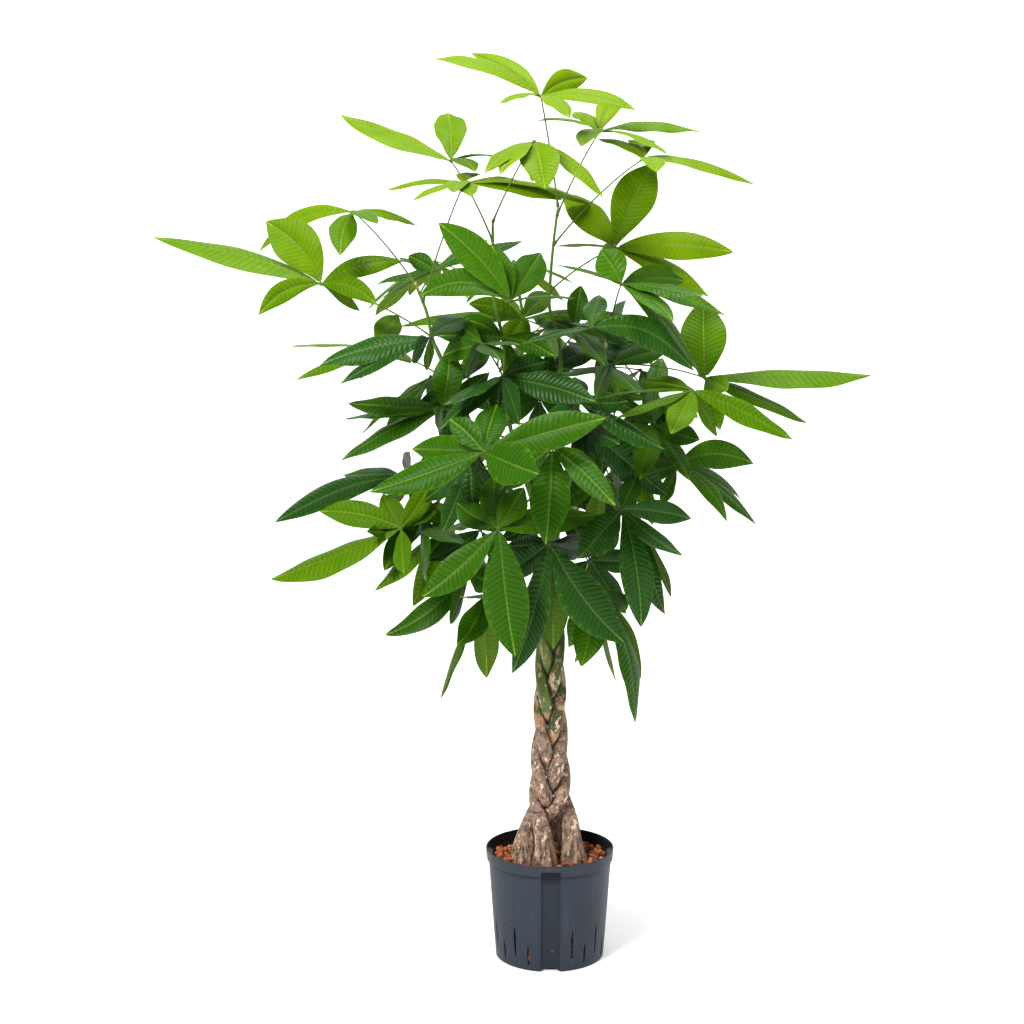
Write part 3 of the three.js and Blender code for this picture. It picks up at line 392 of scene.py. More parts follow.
def stem_place(index, z):
    """The middle of a stem at a height."""
    turn = (z - BRAID_CROSSING) / BRAID_TURN + index / len(STEMS)
    phase = 1.5 * math.pi + TURN * turn
    width = table_at(BRAID_WIDTH, z)
    place = np.array([
        width * (math.cos(phase) + BRAID_SQUARED * math.cos(3 * phase)),
        BRAID_DEPTH * width * (math.sin(2 * phase) - BRAID_SQUARED * math.sin(4 * phase)),
    ])
    place = mix(place, np.array(STEMS[index]["foot"]), 1 - smoothstep(*BRAID_STARTS, z))
    place = mix(place, place_at(SHOOTS[index], z), smoothstep(*BRAID_ENDS, z))
    return np.array([*place, z])


def stem_path(index, heights):
    return np.array([stem_place(index, z) for z in heights])


def coarse_heights(index):
    """The heights of the corners that the stem's solid has."""
    top = SHOOTS[index][-1, 2]
    braid_steps = round((BRAID_ENDS[1] - STEM_FOOT) / BRAID_STEP)
    shoot_steps = math.ceil((top - BRAID_ENDS[1]) / SHOOT_STEP)
    braid = np.linspace(STEM_FOOT, BRAID_ENDS[1], braid_steps + 1)
    return [*braid[:-1], *np.linspace(BRAID_ENDS[1], top, shoot_steps + 1)]


SHOOTS = [spline_through([seen(*place) for place in stem["shoot"]], SHOOT_PLACES) for stem in STEMS]
COARSE_PATHS = [stem_path(index, coarse_heights(index)) for index in range(len(STEMS))]


def place_on_stem(index, z):
    path = COARSE_PATHS[index]
    return np.array([*place_at(path, z), min(z, path[-1, 2] - BELOW_TIP)])


# The leaves, each found again as its solid has it.

def set_leaflet(leaf, across, up, shows, back=None, bow=None):
    if back is None:
        short = math.sqrt(max(FULL_BLADE**2 - across**2 - up**2, 0))
        back = SLOPED * short * math.copysign(1, up or 1) + draws.between(*TIP_DEPTH_DRAW)
    tip = seen(leaf["hub"][0] + across, leaf["hub"][1] + up, leaf["y"] + back)
    return {"shows": shows, "width": None, "bow": bow, "tip": tip, "slide": unit(tip - EYE)}


def set_back_leaflet(leaf, index):
    middle = (BACK_LEAFLETS - 1) / 2
    turn = math.radians(leaf["bearing"] + (index - middle) * BACK_FAN + draws.between(*BACK_TURN_DRAW))
    droop = math.radians(draws.between(*BACK_DROOP))
    length = mix(*BACK_LENGTH, abs(index - middle) / middle) * draws.between(*BACK_LENGTH_DRAW)
    tip = leaf["hub_place"] + np.array(around(math.cos(droop), turn, -math.sin(droop))) * length
    return {"shows": None, "width": WIDTH_OF_LENGTH * length, "bow": None, "tip": tip, "slide": UP}


def leaf_named(leaves, name):
    return next(leaf for leaf in leaves if leaf["name"] == f"leaf_{name}")


def all_leaves():
    leaves = []

    def add(leaf, across, up, y, leaflets):
        leaf |= {"hub": (across, up), "y": y, "hub_place": seen(across, up, y)}
        leaf["blades"] = [set_leaflet(leaf, *leaflet) for leaflet in leaflets]
        leaves.append(leaf)

    for group, rows in LEAVES.items():
        for number, (across, up, y, stem, start, look, leaflets) in enumerate(rows, 1):
            leaf = {"name": f"leaf_{group}_{number}", "stem": stem, "start": start, "look": look}
            add(leaf, across, up, y, leaflets)
    for number, (stem, start, bearing, out, rise, look) in enumerate(BACK_LEAVES, 1):
        leaf = {"name": f"leaf_back_{number}", "stem": stem, "start": start, "look": look}
        leaf["bearing"] = bearing
        leaf["hub_place"] = place_on_stem(stem, start) + around(out, math.radians(bearing), rise)
        leaf["blades"] = [set_back_leaflet(leaf, index) for index in range(BACK_LEAFLETS)]
        leaves.append(leaf)
    for on, *row in TWINS:
        bearer = leaf_named(leaves, on)
        add({"name": bearer["name"], "bearer": bearer, "look": bearer["look"]}, *row)
    return leaves


# Leaflets deep in the crown that the solids leave out: the leaf, how far the tip lies across and up from
# its hub, the width that shows, how far back the tip lies and how far the blade arches.
MORE_LEAFLETS = [
    ("front_2", -90, 25, 30, -40, 0.05), ("front_2", -32, -42, 38, -50, 0.0),
    ("front_3", -66, -20, 36, 50, 0.03), ("front_7", 76, 26, 38, 60, 0.05),
    ("right_11", 80, 3, 32, 40, 0.02), ("right_6", 116, -16, 32, 60, 0.03),
    ("front_9", -48, -96, 42, 25, 0.0), ("right_6", 72, -176, 34, 40, 0.03),
    ("low_left_3", -53, -127, 34, 30, 0.0), ("left_7", -57, 55, 36, 40, 0.03),
    ("front_7", -8, -65, 30, -30, 0.0), ("inner_4", -53, 17, 28, 20, 0.04),
    ("inner_4", 17, 80, 32, 30, 0.0), ("inner_1", -77, 48, 26, 30, 0.04), ("inner_5", 7, -77, 32, -20, 0.0),
    ("right_5", -28, -65, 28, 30, 0.0), ("left_3", -45, 25, 30, 30, 0.04),
]


def stalk_places(leaf, swing, shares):
    """Places along a stalk, whose middle lies swing mm off to the side of the straight way."""
    if "bearer" in leaf:
        bearer = leaf["bearer"]
        start = stalk_places(bearer, bearer["swing"], np.array([TWIN_AT]))[0]
    else:
        start = place_on_stem(leaf["stem"], leaf["start"])
    end = leaf["hub_place"]
    span = end - start
    aside = unit(np.array([-span[1], span[0], 0])) * swing
    rise = UP * STALK_RISE * np.linalg.norm(span)
    first, second = (start + span * share + rise + aside for share in STALK_BENDS)
    t = shares[:, None]
    return (1 - t)**3 * start + 3 * (1 - t)**2 * t * first + 3 * (1 - t) * t**2 * second + t**3 * end


def ring_corner(points, step, radius):
    """The first corner of the ring that a stalk's solid has at a step."""
    along = unit(points[step + 1] - points[step - 1])
    guide = guide_of(unit(points[-1] - points[0]))
    return points[step] + unit(np.cross(guide, along)) * radius


def nearest_corner(corners, place):
    return np.min(np.linalg.norm(corners - place, axis=1))


def find_swings(leaf):
    """How far the stalk and each blade were swung to clear their neighbours, read from the solid. A
    leaflet that found no room isn't in the solid and isn't kept."""
    solid = frame["nodes"][leaf["name"]].data
    corners = np.empty(len(solid.vertices) * 3)
    solid.vertices.foreach_get("co", corners)
    corners = corners.reshape(-1, 3) / MM
    step = STALK_STEPS - 2
    radius = mix(*STALK_RADIUS, step / STALK_STEPS)
    shares = np.linspace(0, 1, STALK_STEPS + 1)

    def stalk_miss(swing):
        return nearest_corner(corners, ring_corner(stalk_places(leaf, swing, shares), step, radius))

    leaf["swing"] = min(SWINGS, key=stalk_miss)
    misses = [stalk_miss(leaf["swing"])]
    kept = []
    for blade in leaf["blades"]:
        swing = min(SWINGS, key=lambda far: nearest_corner(corners, blade["tip"] + blade["slide"] * far))
        tip = blade["tip"] + blade["slide"] * swing
        miss = nearest_corner(corners, tip)
        if miss < NOT_THERE:
            kept.append({**blade, "tip": tip})
            misses.append(miss)
    leaf["missing"] = len(leaf["blades"]) - len(kept)
    leaf["blades"] = kept
    return max(misses)


leaves = all_leaves()
worst_miss = max(find_swings(leaf) for leaf in leaves)
print("leaves found again to within mm:", round(worst_miss, 3), "without room:",
      sum(leaf["missing"] for leaf in leaves))
for name, *leaflet in MORE_LEAFLETS:
    leaf = leaf_named(leaves, name)
    leaf["blades"].append(set_leaflet(leaf, *leaflet))


# Materials.

class Surface:
    """A procedural material and its nodes."""

    def __init__(self, name):
        self.material = bpy.data.materials.new(name)
        self.material.use_nodes = True
        self.tree = self.material.node_tree
        self.shader = self.tree.nodes["Principled BSDF"]
        self.place = self.node("ShaderNodeTexCoord").outputs["Object"]

    def node(self, kind, **settings):
        made = self.tree.nodes.new(kind)
        for key, value in settings.items():
            setattr(made, key, value)
        return made

    def link(self, value, socket):
        if isinstance(value, bpy.types.NodeSocket):
            self.tree.links.new(value, socket)
        else:
            socket.default_value = (*value, 1.0) if socket.type == "RGBA" else value

    def math(self, operation, a, b=0.0, c=0.0):
        made = self.node("ShaderNodeMath", operation=operation)
        for value, socket in zip((a, b, c), made.inputs):
            self.link(value, socket)
        return made.outputs[0]

    def plus(self, a, b):
        return self.math("ADD", a, b)

    def times(self, a, b):
        return self.math("MULTIPLY", a, b)

    def line(self, value, slope, start):
        """start, and slope more for each unit of value."""
        return self.math("MULTIPLY_ADD", value, slope, start)

    def step(self, value, low, high):
        """0 below low and 1 above high, smoothly; the other way round if low is above high."""
        made = self.node("ShaderNodeMapRange", interpolation_type="SMOOTHSTEP")
        start, end = (0.0, 1.0) if low < high else (1.0, 0.0)
        for name, given in (("From Min", min(low, high)), ("From Max", max(low, high)), ("To Min", start),
                            ("To Max", end), ("Value", value)):
            self.link(given, made.inputs[name])
        return made.outputs["Result"]

    def blend(self, share, below, above):
        made = self.node("ShaderNodeMix", data_type="RGBA")
        self.link(share, made.inputs["Factor"])
        self.link(below, made.inputs[6])
        self.link(above, made.inputs[7])
        return made.outputs[2]

    def paint(self, colour, mask, strength, tint):
        """The tint laid over a colour where the mask is."""
        return self.blend(self.times(mask, strength), colour, tint)

    def noise(self, scale, detail=3.0, rough=0.55, stretch=None):
        made = self.node("ShaderNodeTexNoise")
        where = self.place
        if stretch:
            mapping = self.node("ShaderNodeMapping")
            self.link(where, mapping.inputs["Vector"])
            mapping.inputs["Scale"].default_value = stretch
            where = mapping.outputs["Vector"]
        for name, value in (("Vector", where), ("Scale", scale), ("Detail", detail), ("Roughness", rough)):
            self.link(value, made.inputs[name])
        return made.outputs["Fac"]

    def map_of(self, name):
        """The two values of a UV map."""
        split = self.node("ShaderNodeSeparateXYZ")
        self.link(self.node("ShaderNodeUVMap", uv_map=name).outputs["UV"], split.inputs[0])
        return split.outputs[0], split.outputs[1]

    def tone(self):
        return self.node("ShaderNodeAttribute", attribute_name="Tone").outputs["Fac"]

    def bump(self, height, distance):
        made = self.node("ShaderNodeBump")
        self.link(height, made.inputs["Height"])
        self.link(distance, made.inputs["Distance"])
        self.link(made.outputs["Normal"], self.shader.inputs["Normal"])
        return made.outputs["Normal"]

    def finish(self, colour, roughness, specular):
        self.link(colour, self.shader.inputs["Base Color"])
        self.link(roughness, self.shader.inputs["Roughness"])
        self.shader.inputs["Specular IOR Level"].default_value = specular
        return self.material

    def let_light_through(self, colour, share, normal):
        """Part of the light passes through to the other side."""
        through = self.node("ShaderNodeBsdfTranslucent")
        self.link(colour, through.inputs["Color"])
        self.link(normal, through.inputs["Normal"])
        both = self.node("ShaderNodeMixShader")
        both.inputs[0].default_value = share
        self.link(self.shader.outputs[0], both.inputs[1])
        self.link(through.outputs[0], both.inputs[2])
        self.link(both.outputs[0], self.tree.nodes["Material Output"].inputs["Surface"])


# The tints of each look of leaf: young, grown, the painted shade in its furrows and its ribs, and of the
# light that passes through it. The share that passes, how deep the ribs are pressed and how dark their
# painted shade is, and the roughness and specular level above.
Look = namedtuple("Look", "young grown furrow rib through share ribbed gloss")
LOOKS = {
    "light": Look((0.18, 0.3, 0.002), (0.06, 0.16, 0.001), (0.05, 0.14, 0.001), (0.36, 0.48, 0.04),
                  (0.33, 0.58, 0.003), 0.3, 0.12, (0.42, 0.06)),
    "middle": Look((0.058, 0.168, 0.002), (0.02, 0.085, 0.001), (0.009, 0.038, 0.001), (0.27, 0.43, 0.03),
                   (0.2, 0.46, 0.004), 0.16, 0.18, (0.38, 0.1)),
    "dark": Look((0.028, 0.105, 0.005), (0.01, 0.053, 0.004), (0.004, 0.019, 0.002), (0.17, 0.31, 0.03),
                 (0.09, 0.28, 0.004), 0.1, 0.25, (0.35, 0.14)),
}
DULL = (0.6, 0.05)
TINTS = {
    "underside": (0.12, 0.2, 0.02), "leaf tip": (0.045, 0.022, 0.01), "dry stalk": (0.07, 0.07, 0.02),
    "bark": ((0.15, 0.09, 0.062), (0.5, 0.315, 0.215)), "grey bark": (0.26, 0.21, 0.155),
    "crack": (0.05, 0.028, 0.02), "streak": (0.05, 0.033, 0.024), "fleck": (0.66, 0.46, 0.33),
    "fibre": ((0.5, 0.26, 0.13), (0.85, 0.68, 0.42)),
    "green": ((0.024, 0.045, 0.026), (0.07, 0.105, 0.022)), "young green": (0.13, 0.19, 0.018),
    "green streak": (0.02, 0.028, 0.014),
    "shoot": ((0.05, 0.13, 0.008), (0.1, 0.22, 0.012)), "bud": ((0.2, 0.14, 0.06), (0.42, 0.34, 0.16)),
    "ring": ((0.42, 0.17, 0.07), (0.7, 0.42, 0.22)), "patch": ((0.33, 0.14, 0.06), (0.58, 0.4, 0.27)),
    "flake": ((0.75, 0.5, 0.33), (0.9, 0.74, 0.58)), "pit": (0.02, 0.013, 0.01),
    "crease_shade": (0.03, 0.022, 0.014),
    "pot inside shade": ((0.006, 0.007, 0.008), (0.02, 0.022, 0.025)),
    "pot": ((0.025, 0.032, 0.045), (0.038, 0.048, 0.066)), "rubbed": (0.075, 0.09, 0.115),
    "flute": (0.006, 0.008, 0.012), "scuff": (0.16, 0.15, 0.14),
    "clay": ((0.055, 0.014, 0.007), (0.68, 0.2, 0.075)), "clay dust": (0.62, 0.34, 0.2),
    "clay pore": (0.035, 0.014, 0.009), "floor": (0.9, 0.9, 0.9),
}
# In the surfaces below, a noise's scale is in waves for each metre, and the two limits of a step say which
# of its values, or which heights in mm, a mark starts at and is full at.

# Where the bark ends, in mm up the stem, and how far its tone and its clouds move that place.
BARK_END = 325
BARK_END_BY_TONE = 150
BARK_END_BY_CLOUD = 130


def leaf_surface(look, below):
    """The skin of a leaflet: corrugated, with furrows along the side veins above and ridges below.
    Above, painted shade darkens the furrows and painted light brightens the hills between them.
    Its map Veins runs one unit from one side vein to the next and -1 to 1 from edge to edge, and its
    map Reach gives the mm from the midrib and the share of the length."""
    tints = LOOKS[look]
    skin = Surface(f"leaf_{look}_{'below' if below else 'above'}")
    phase, sideways = skin.map_of("Veins")
    off_rib, along = skin.map_of("Reach")
    outward = skin.math("ABSOLUTE", sideways)
    wavering = skin.line(skin.noise(110.0, 2.0), 0.34, skin.plus(phase, -0.17))
    from_vein = skin.math("PINGPONG", wavering, 0.5)
    inside = skin.step(outward, 0.99, 0.8)
    furrow = skin.times(skin.step(from_vein, 0.14, 0.02), inside)
    hill = skin.step(from_vein, 0.03, 0.42)
    rib = skin.step(skin.math("ABSOLUTE", off_rib), 1.4, 0.6)
    share = skin.plus(skin.times(skin.noise(38.0), 0.7), skin.line(skin.tone(), 1.0, -0.4))
    colour = skin.blend(skin.step(share, 0.0, 1.0), tints.grown, tints.young)
    if below:
        colour = skin.blend(0.5, colour, TINTS["underside"])
        colour = skin.paint(colour, furrow, 0.3, tints.rib)
    else:
        # Painted light: the hills between the side veins are brightened towards the young tint.
        colour = skin.paint(colour, hill, 0.25, tints.young)
        # Painted shade: the furrows along the side veins are darkened above, more on the more deeply ribbed
        # looks.
        colour = skin.paint(colour, furrow, 0.62 * tints.ribbed, tints.furrow)
    colour = skin.paint(colour, rib, 0.75, tints.rib)
    colour = skin.paint(colour, skin.step(outward, 0.965, 0.995), 0.25, tints.rib)
    colour = skin.paint(colour, skin.step(along, 0.975, 0.995), 0.8, TINTS["leaf tip"])
    relief = skin.times(skin.times(hill, inside), -1.0 if below else 1.0)
    relief = skin.plus(relief, skin.times(skin.noise(700.0, 2.0), 0.1))
    normal = skin.bump(relief, 0.0016 * tints.ribbed)
    skin.let_light_through(skin.blend(furrow, tints.through, tints.young), tints.share, normal)
    return skin.finish(colour, *(DULL if below else tints.gloss))


def stalk_surface(look):
    tints = LOOKS[look]
    skin = Surface(f"stalk_{look}")
    fleck = skin.noise(260.0, 2.0)
    dull = tuple(mix(a, b, 0.6) for a, b in zip(tints.grown, TINTS["dry stalk"]))
    bright = tuple(mix(a, b, 0.3) for a, b in zip(tints.grown, tints.young))
    skin.bump(fleck, 0.0004)
    return skin.finish(skin.blend(fleck, dull, bright), 0.45, 0.25)


def bark_surface():
    """Flaking grey-brown bark below, then an orange ring where it ends, and smooth green skin above it
    with patches of bark. Its map Skin gives the nearness to the bud and the mm up the stem, its second map
    how near the next stem is, which sets painted shade in the creases between the stems, and its tone
    moves the place where the bark ends."""
    skin = Surface("bark")
    near_bud, height = skin.map_of("Skin")
    tone = skin.tone()
    cloud = skin.noise(42.0, 4.0, 0.62)
    blotch = skin.noise(95.0, 4.0, 0.6)
    fine = skin.noise(330.0, 4.0, 0.7)
    streak = skin.noise(190.0, 4.0, 0.65, (1.0, 1.0, 0.2))
    bark = skin.blend(skin.step(blotch, 0.3, 0.7), *TINTS["bark"])
    bark = skin.paint(bark, skin.step(cloud, 0.42, 0.62), 0.5, TINTS["grey bark"])
    crack = skin.step(skin.noise(150.0, 4.0, 0.6, (0.3, 0.3, 1.6)), 0.57, 0.65)
    bark = skin.paint(bark, crack, 0.7, TINTS["crack"])
    bark = skin.paint(bark, skin.step(streak, 0.46, 0.66), 0.75, TINTS["streak"])
    bark = skin.paint(bark, skin.step(fine, 0.56, 0.72), 0.6, TINTS["fleck"])
    fibre = skin.times(skin.step(streak, 0.5, 0.4), skin.step(height, 235.0, 185.0))
    bark = skin.paint(bark, fibre, 0.8, skin.blend(fine, *TINTS["fibre"]))

    green = skin.blend(skin.step(cloud, 0.38, 0.6), *TINTS["green"])
    green = skin.paint(green, skin.step(tone, 0.6, 0.62), 0.5, TINTS["young green"])
    green = skin.paint(green, skin.step(streak, 0.5, 0.68), 0.6, TINTS["green streak"])
    green = skin.blend(skin.step(height, 700.0, 900.0), green, skin.blend(cloud, *TINTS["shoot"]))
    green = skin.blend(near_bud, green, skin.blend(streak, *TINTS["bud"]))
    ends = skin.line(tone, BARK_END_BY_TONE, BARK_END)
    clouded = skin.line(cloud, BARK_END_BY_CLOUD, skin.plus(height, -BARK_END_BY_CLOUD / 2))
    past = skin.math("SUBTRACT", clouded, ends)
    is_green = skin.step(past, -3.0, 5.0)
    colour = skin.blend(is_green, bark, green)
    ring = skin.times(skin.step(past, -26.0, -8.0), skin.step(past, 12.0, 2.0))
    colour = skin.paint(colour, ring, 0.8, skin.blend(fine, *TINTS["ring"]))

    patches = skin.step(skin.noise(58.0, 5.0, 0.62, (1.0, 1.0, 0.45)), 0.535, 0.565)
    patches = skin.times(skin.times(patches, skin.step(height, 600.0, 470.0)), is_green)
    colour = skin.paint(colour, patches, 0.9, skin.blend(skin.step(blotch, 0.4, 0.6), *TINTS["patch"]))
    flake = skin.step(skin.noise(105.0, 4.0, 0.62, (1.0, 1.0, 0.55)), 0.59, 0.6)
    flake = skin.times(flake, skin.step(height, 560.0, 440.0))
    colour = skin.paint(colour, flake, 0.9, skin.blend(fine, *TINTS["flake"]))
    pit = skin.times(skin.step(skin.noise(210.0, 2.0), 0.35, 0.29), skin.step(height, 760.0, 600.0))
    colour = skin.paint(colour, pit, 0.7, TINTS["pit"])
    # Painted shade in the creases where the stem presses against the next one.
    colour = skin.paint(colour, skin.map_of("Crease")[0], 0.72, TINTS["crease_shade"])
    rough = skin.math("SUBTRACT", 1.0, skin.times(is_green, 0.7))
    relief = skin.plus(skin.times(fine, 0.5), skin.times(streak, -0.6))
    relief = skin.plus(skin.times(relief, rough), skin.times(flake, -0.4))
    skin.bump(skin.plus(relief, skin.times(patches, 0.3)), 0.0026)
    return skin.finish(colour, skin.line(is_green, -0.3, 0.85), 0.35)


def pot_surface(inside):
    skin = Surface("pot_inside_shaded" if inside else "pot_outside")
    cloud = skin.noise(16.0, 4.0, 0.6)
    if inside:
        # Painted shade: the inside is coloured far darker than the outside of the same plastic.
        colour = skin.blend(cloud, *TINTS["pot inside shade"])
    else:
        colour = skin.blend(cloud, *TINTS["pot"])
        rubbed = skin.step(skin.noise(60.0, 5.0, 0.7, (1.0, 1.0, 0.12)), 0.56, 0.72)
        colour = skin.paint(colour, rubbed, 0.25, TINTS["rubbed"])
        # Painted shade in the flutes, darker at their heads, and in the groove under the rim band, carried
        # by the tone.
        colour = skin.blend(skin.tone(), colour, TINTS["flute"])
        colour = skin.paint(colour, skin.step(skin.noise(130.0), 0.71, 0.74), 0.5, TINTS["scuff"])
    skin.bump(skin.noise(700.0, 2.0), 0.0003)
    return skin.finish(colour, skin.line(cloud, 0.16, 0.36), 0.14)


def clay_surface():
    skin = Surface("clay")
    rough = skin.noise(300.0, 4.0, 0.7)
    colour = skin.blend(skin.tone(), *TINTS["clay"])
    colour = skin.paint(colour, skin.step(rough, 0.5, 0.75), 0.5, TINTS["clay dust"])
    colour = skin.blend(skin.step(rough, 0.4, 0.26), colour, TINTS["clay pore"])
    skin.bump(rough, 0.0012)
    return skin.finish(colour, 0.93, 0.25)


# Meshes.

def new_mesh(name, corners, faces):
    """A mesh from corners in mm."""
    mesh = bpy.data.meshes.new(name)
    mesh.from_pydata((np.array(corners) * MM).tolist(), [], faces)
    return mesh


def add_object(name, data):
    made = bpy.data.objects.new(name, data)
    bpy.context.scene.collection.objects.link(made)
    return made


class Piece:
    """Collects a mesh's corners and faces, with a map value or two and a tone at each corner."""

    def __init__(self, name, maps=()):
        self.name = name
        self.corners = []
        self.faces = []
        self.skins = []
        self.tones = []
        self.maps = {label: [] for label in maps}
        self.count = 0

    def add(self, corners, faces, skin=0, tone=0.5):
        """Corners, and the faces between them as rows of their numbers."""
        self.faces.append(faces + self.count)
        self.skins.append(np.full(len(faces), skin))
        self.corners.append(corners)
        self.tones.append(np.full(len(corners), tone))
        self.count += len(corners)

    def grid(self, places, skin=0, flip=False, closed=False, tone=0.5, **maps):
        """A sheet of four-cornered faces over an array of rows of places, closed round if it is a tube."""
        rows, columns = places.shape[:2]
        index = np.arange(rows * columns).reshape(rows, columns)
        if closed:
            index = np.concatenate([index, index[:, :1]], axis=1)
        a, b, c, d = index[:-1, :-1], index[1:, :-1], index[1:, 1:], index[:-1, 1:]
        quads = np.stack([a, d, c, b] if flip else [a, b, c, d], axis=-1).reshape(-1, 4)
        self.add(places.reshape(-1, 3), quads, skin, tone)
        for label, values in self.maps.items():
            given = maps.get(label, np.zeros((rows, columns, 2)))
            values.append(given.reshape(-1, 2))

    def tube(self, rings, **settings):
        self.grid(rings, closed=True, flip=True, **settings)

    def make(self, materials, node, slot):
        faces = np.concatenate(self.faces)
        mesh = new_mesh(self.name, np.concatenate(self.corners), faces.tolist())
        for label, values in self.maps.items():
            layer = mesh.uv_layers.new(name=label)
            layer.data.foreach_set("uv", np.concatenate(values)[faces.reshape(-1)].reshape(-1))
        mesh.attributes.new("Tone", "FLOAT", "POINT").data.foreach_set("value", np.concatenate(self.tones))
        for material in materials:
            mesh.materials.append(material)
        mesh.polygons.foreach_set("material_index", np.concatenate(self.skins))
        mesh.polygons.foreach_set("use_smooth", np.ones(len(faces), dtype=bool))
        mesh.update()
        piece = add_object(self.name, mesh)
        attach(piece, "root")
        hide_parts(node)
        return piece


def tube_rings(points, radii, sides):
    """Rings of places round a curve's points, without twist. The radii are one for each ring, or one for
    each corner of each ring."""
    tangents = units(np.gradient(points, axis=0))
    wide = unit(np.cross(guide_of(tangents[len(tangents) // 2]), tangents[0]))
    turns = TURN * np.arange(sides)[:, None] / sides
    radii = np.reshape(np.asarray(radii, dtype=float), (len(points), -1, 1))
    rings = []
    for point, along, radius in zip(points, tangents, radii):
        wide = unit(wide - along * wide.dot(along))
        deep = np.cross(along, wide)
        rings.append(point + radius * (np.cos(turns) * wide + np.sin(turns) * deep))
    return np.array(rings)


def closed_tube(points, radii, sides):
    """As tube_rings, with a point at each end."""
    rings = tube_rings(points, radii, sides)
    start = np.repeat(points[:1][None], sides, axis=1)
    end = np.repeat(points[-1:][None], sides, axis=1)
    return np.concatenate([start, rings, end])


# The leaves' shapes.

# Columns from edge to edge of a blade, with its midrib at 0, and the rows from one side vein to the next.
COLUMNS = np.array([0, 0.05, 0.13, 0.26, 0.43, 0.62, 0.82, 1])
COLUMNS = np.concatenate([-COLUMNS[:0:-1], COLUMNS])
ROWS_PER_VEIN = 3
VEIN_PITCH = 8.6
VEINS = (8, 24)
# How far a side vein leans ahead, as a share of the length.
LEAN = 0.14
BLADE_START = 0.035
UNDER_DEPTH = 0.8
# The least reach at the start and at the tip, as a share of the half width.
LEAST_REACH = (0.035, 0.008)
# Steps in degrees in which a blade is turned until it shows as wide as it should, and how much closer in mm
# a step has to bring it, as in its solid.
TURN_STEP = 5
CLOSER = 0.5
# How much broader than its solid a blade is, and how much wider it shows.
BROADER = 1.07
SHOWS_MORE = (3.5, 1.06)
# What a blade draws: where it is fullest, how it tapers, how far it folds up along its midrib and its
# edges curl down again, how it bends and droops as shares of its length, its twist in degrees, how many
# waves its edges have and how high these stand in mm.
FULLEST = (1.02, 1.22)
TAPER = (0.8, 1.0)
FOLD = (0.18, 0.42)
FOLD_EDGE_ON = (0.02, 0.2)
CURL = (0.16, 0.36)
BEND = 0.018
TWIST = 7
DROOP = (-0.016, 0.006)
WAVES = (1.6, 3.2)
WAVE = (0.6, 2.4)
QUILT = 0.45
# The half width from which on the waves and the quilting are full, and the share of its width at which a
# blade starts to count as seen edge-on, and does so fully.
FULL_WAVE = 25
FULL_QUILT = 26
EDGE_ON = (0.9, 0.5)
# The groove over the midrib, and the midrib's radius from hub to tip.
GROOVE_DEPTH = 0.7
GROOVE_WIDTH = 1.8
MIDRIB = (1.55, 0.35)
MIDRIB_END = 0.93
# A stalk is slimmer than its solid and swells at both ends: by how many mm, over which share.
STALK_SLIMMER = 0.72
STALK_SWELLS = ((1.6, 0.04), (1.3, 0.03))
# The knob at a hub: places along it and its radii there.
KNOB = np.array([-3.2, -2.4, -0.8, 0.8, 2.4, 3.2])
KNOB_RADII = np.array([0.9, 2.4, 3.2, 3.2, 2.4, 0.9])
# How high the hubs of the oldest and youngest leaves stand.
AGES = (900, 1500)
# No blade stands higher than the solids do.
HIGHEST = solid_box[1][2] / MM - 0.5
rng = np.random.default_rng(73)


def lay_blade(hub, tip, width, shows):
    """The directions of a blade's upper side and of its width, which is turned about the blade's length
    until it shows as wide as it should."""
    along = unit(tip - hub)
    upper = UP - along * UP.dot(along)
    if np.linalg.norm(upper) < 0.15:
        upper = upper - 0.3 * BACK
    upper = unit(upper - along * upper.dot(along))
    level = np.cross(upper, along)
    if shows is None:
        return upper, level
    sight = unit((hub + tip) / 2 - EYE)
    side = math.copysign(1, level.dot(sight))
    across = level
    miss = math.inf
    for turn in range(0, 91, TURN_STEP):
        turned = level * math.cos(math.radians(turn)) + upper * side * math.sin(math.radians(turn))
        showing = width * np.linalg.norm(turned - sight * turned.dot(sight))
        if abs(showing - shows) < miss - CLOSER:
            miss = abs(showing - shows)
            across = turned
    return upper, across


def square_to(ahead, across):
    """The ways sideways and up from a blade that runs ahead."""
    sideways = units(across - ahead * np.sum(across * ahead, axis=-1, keepdims=True))
    return sideways, np.cross(ahead, sideways)


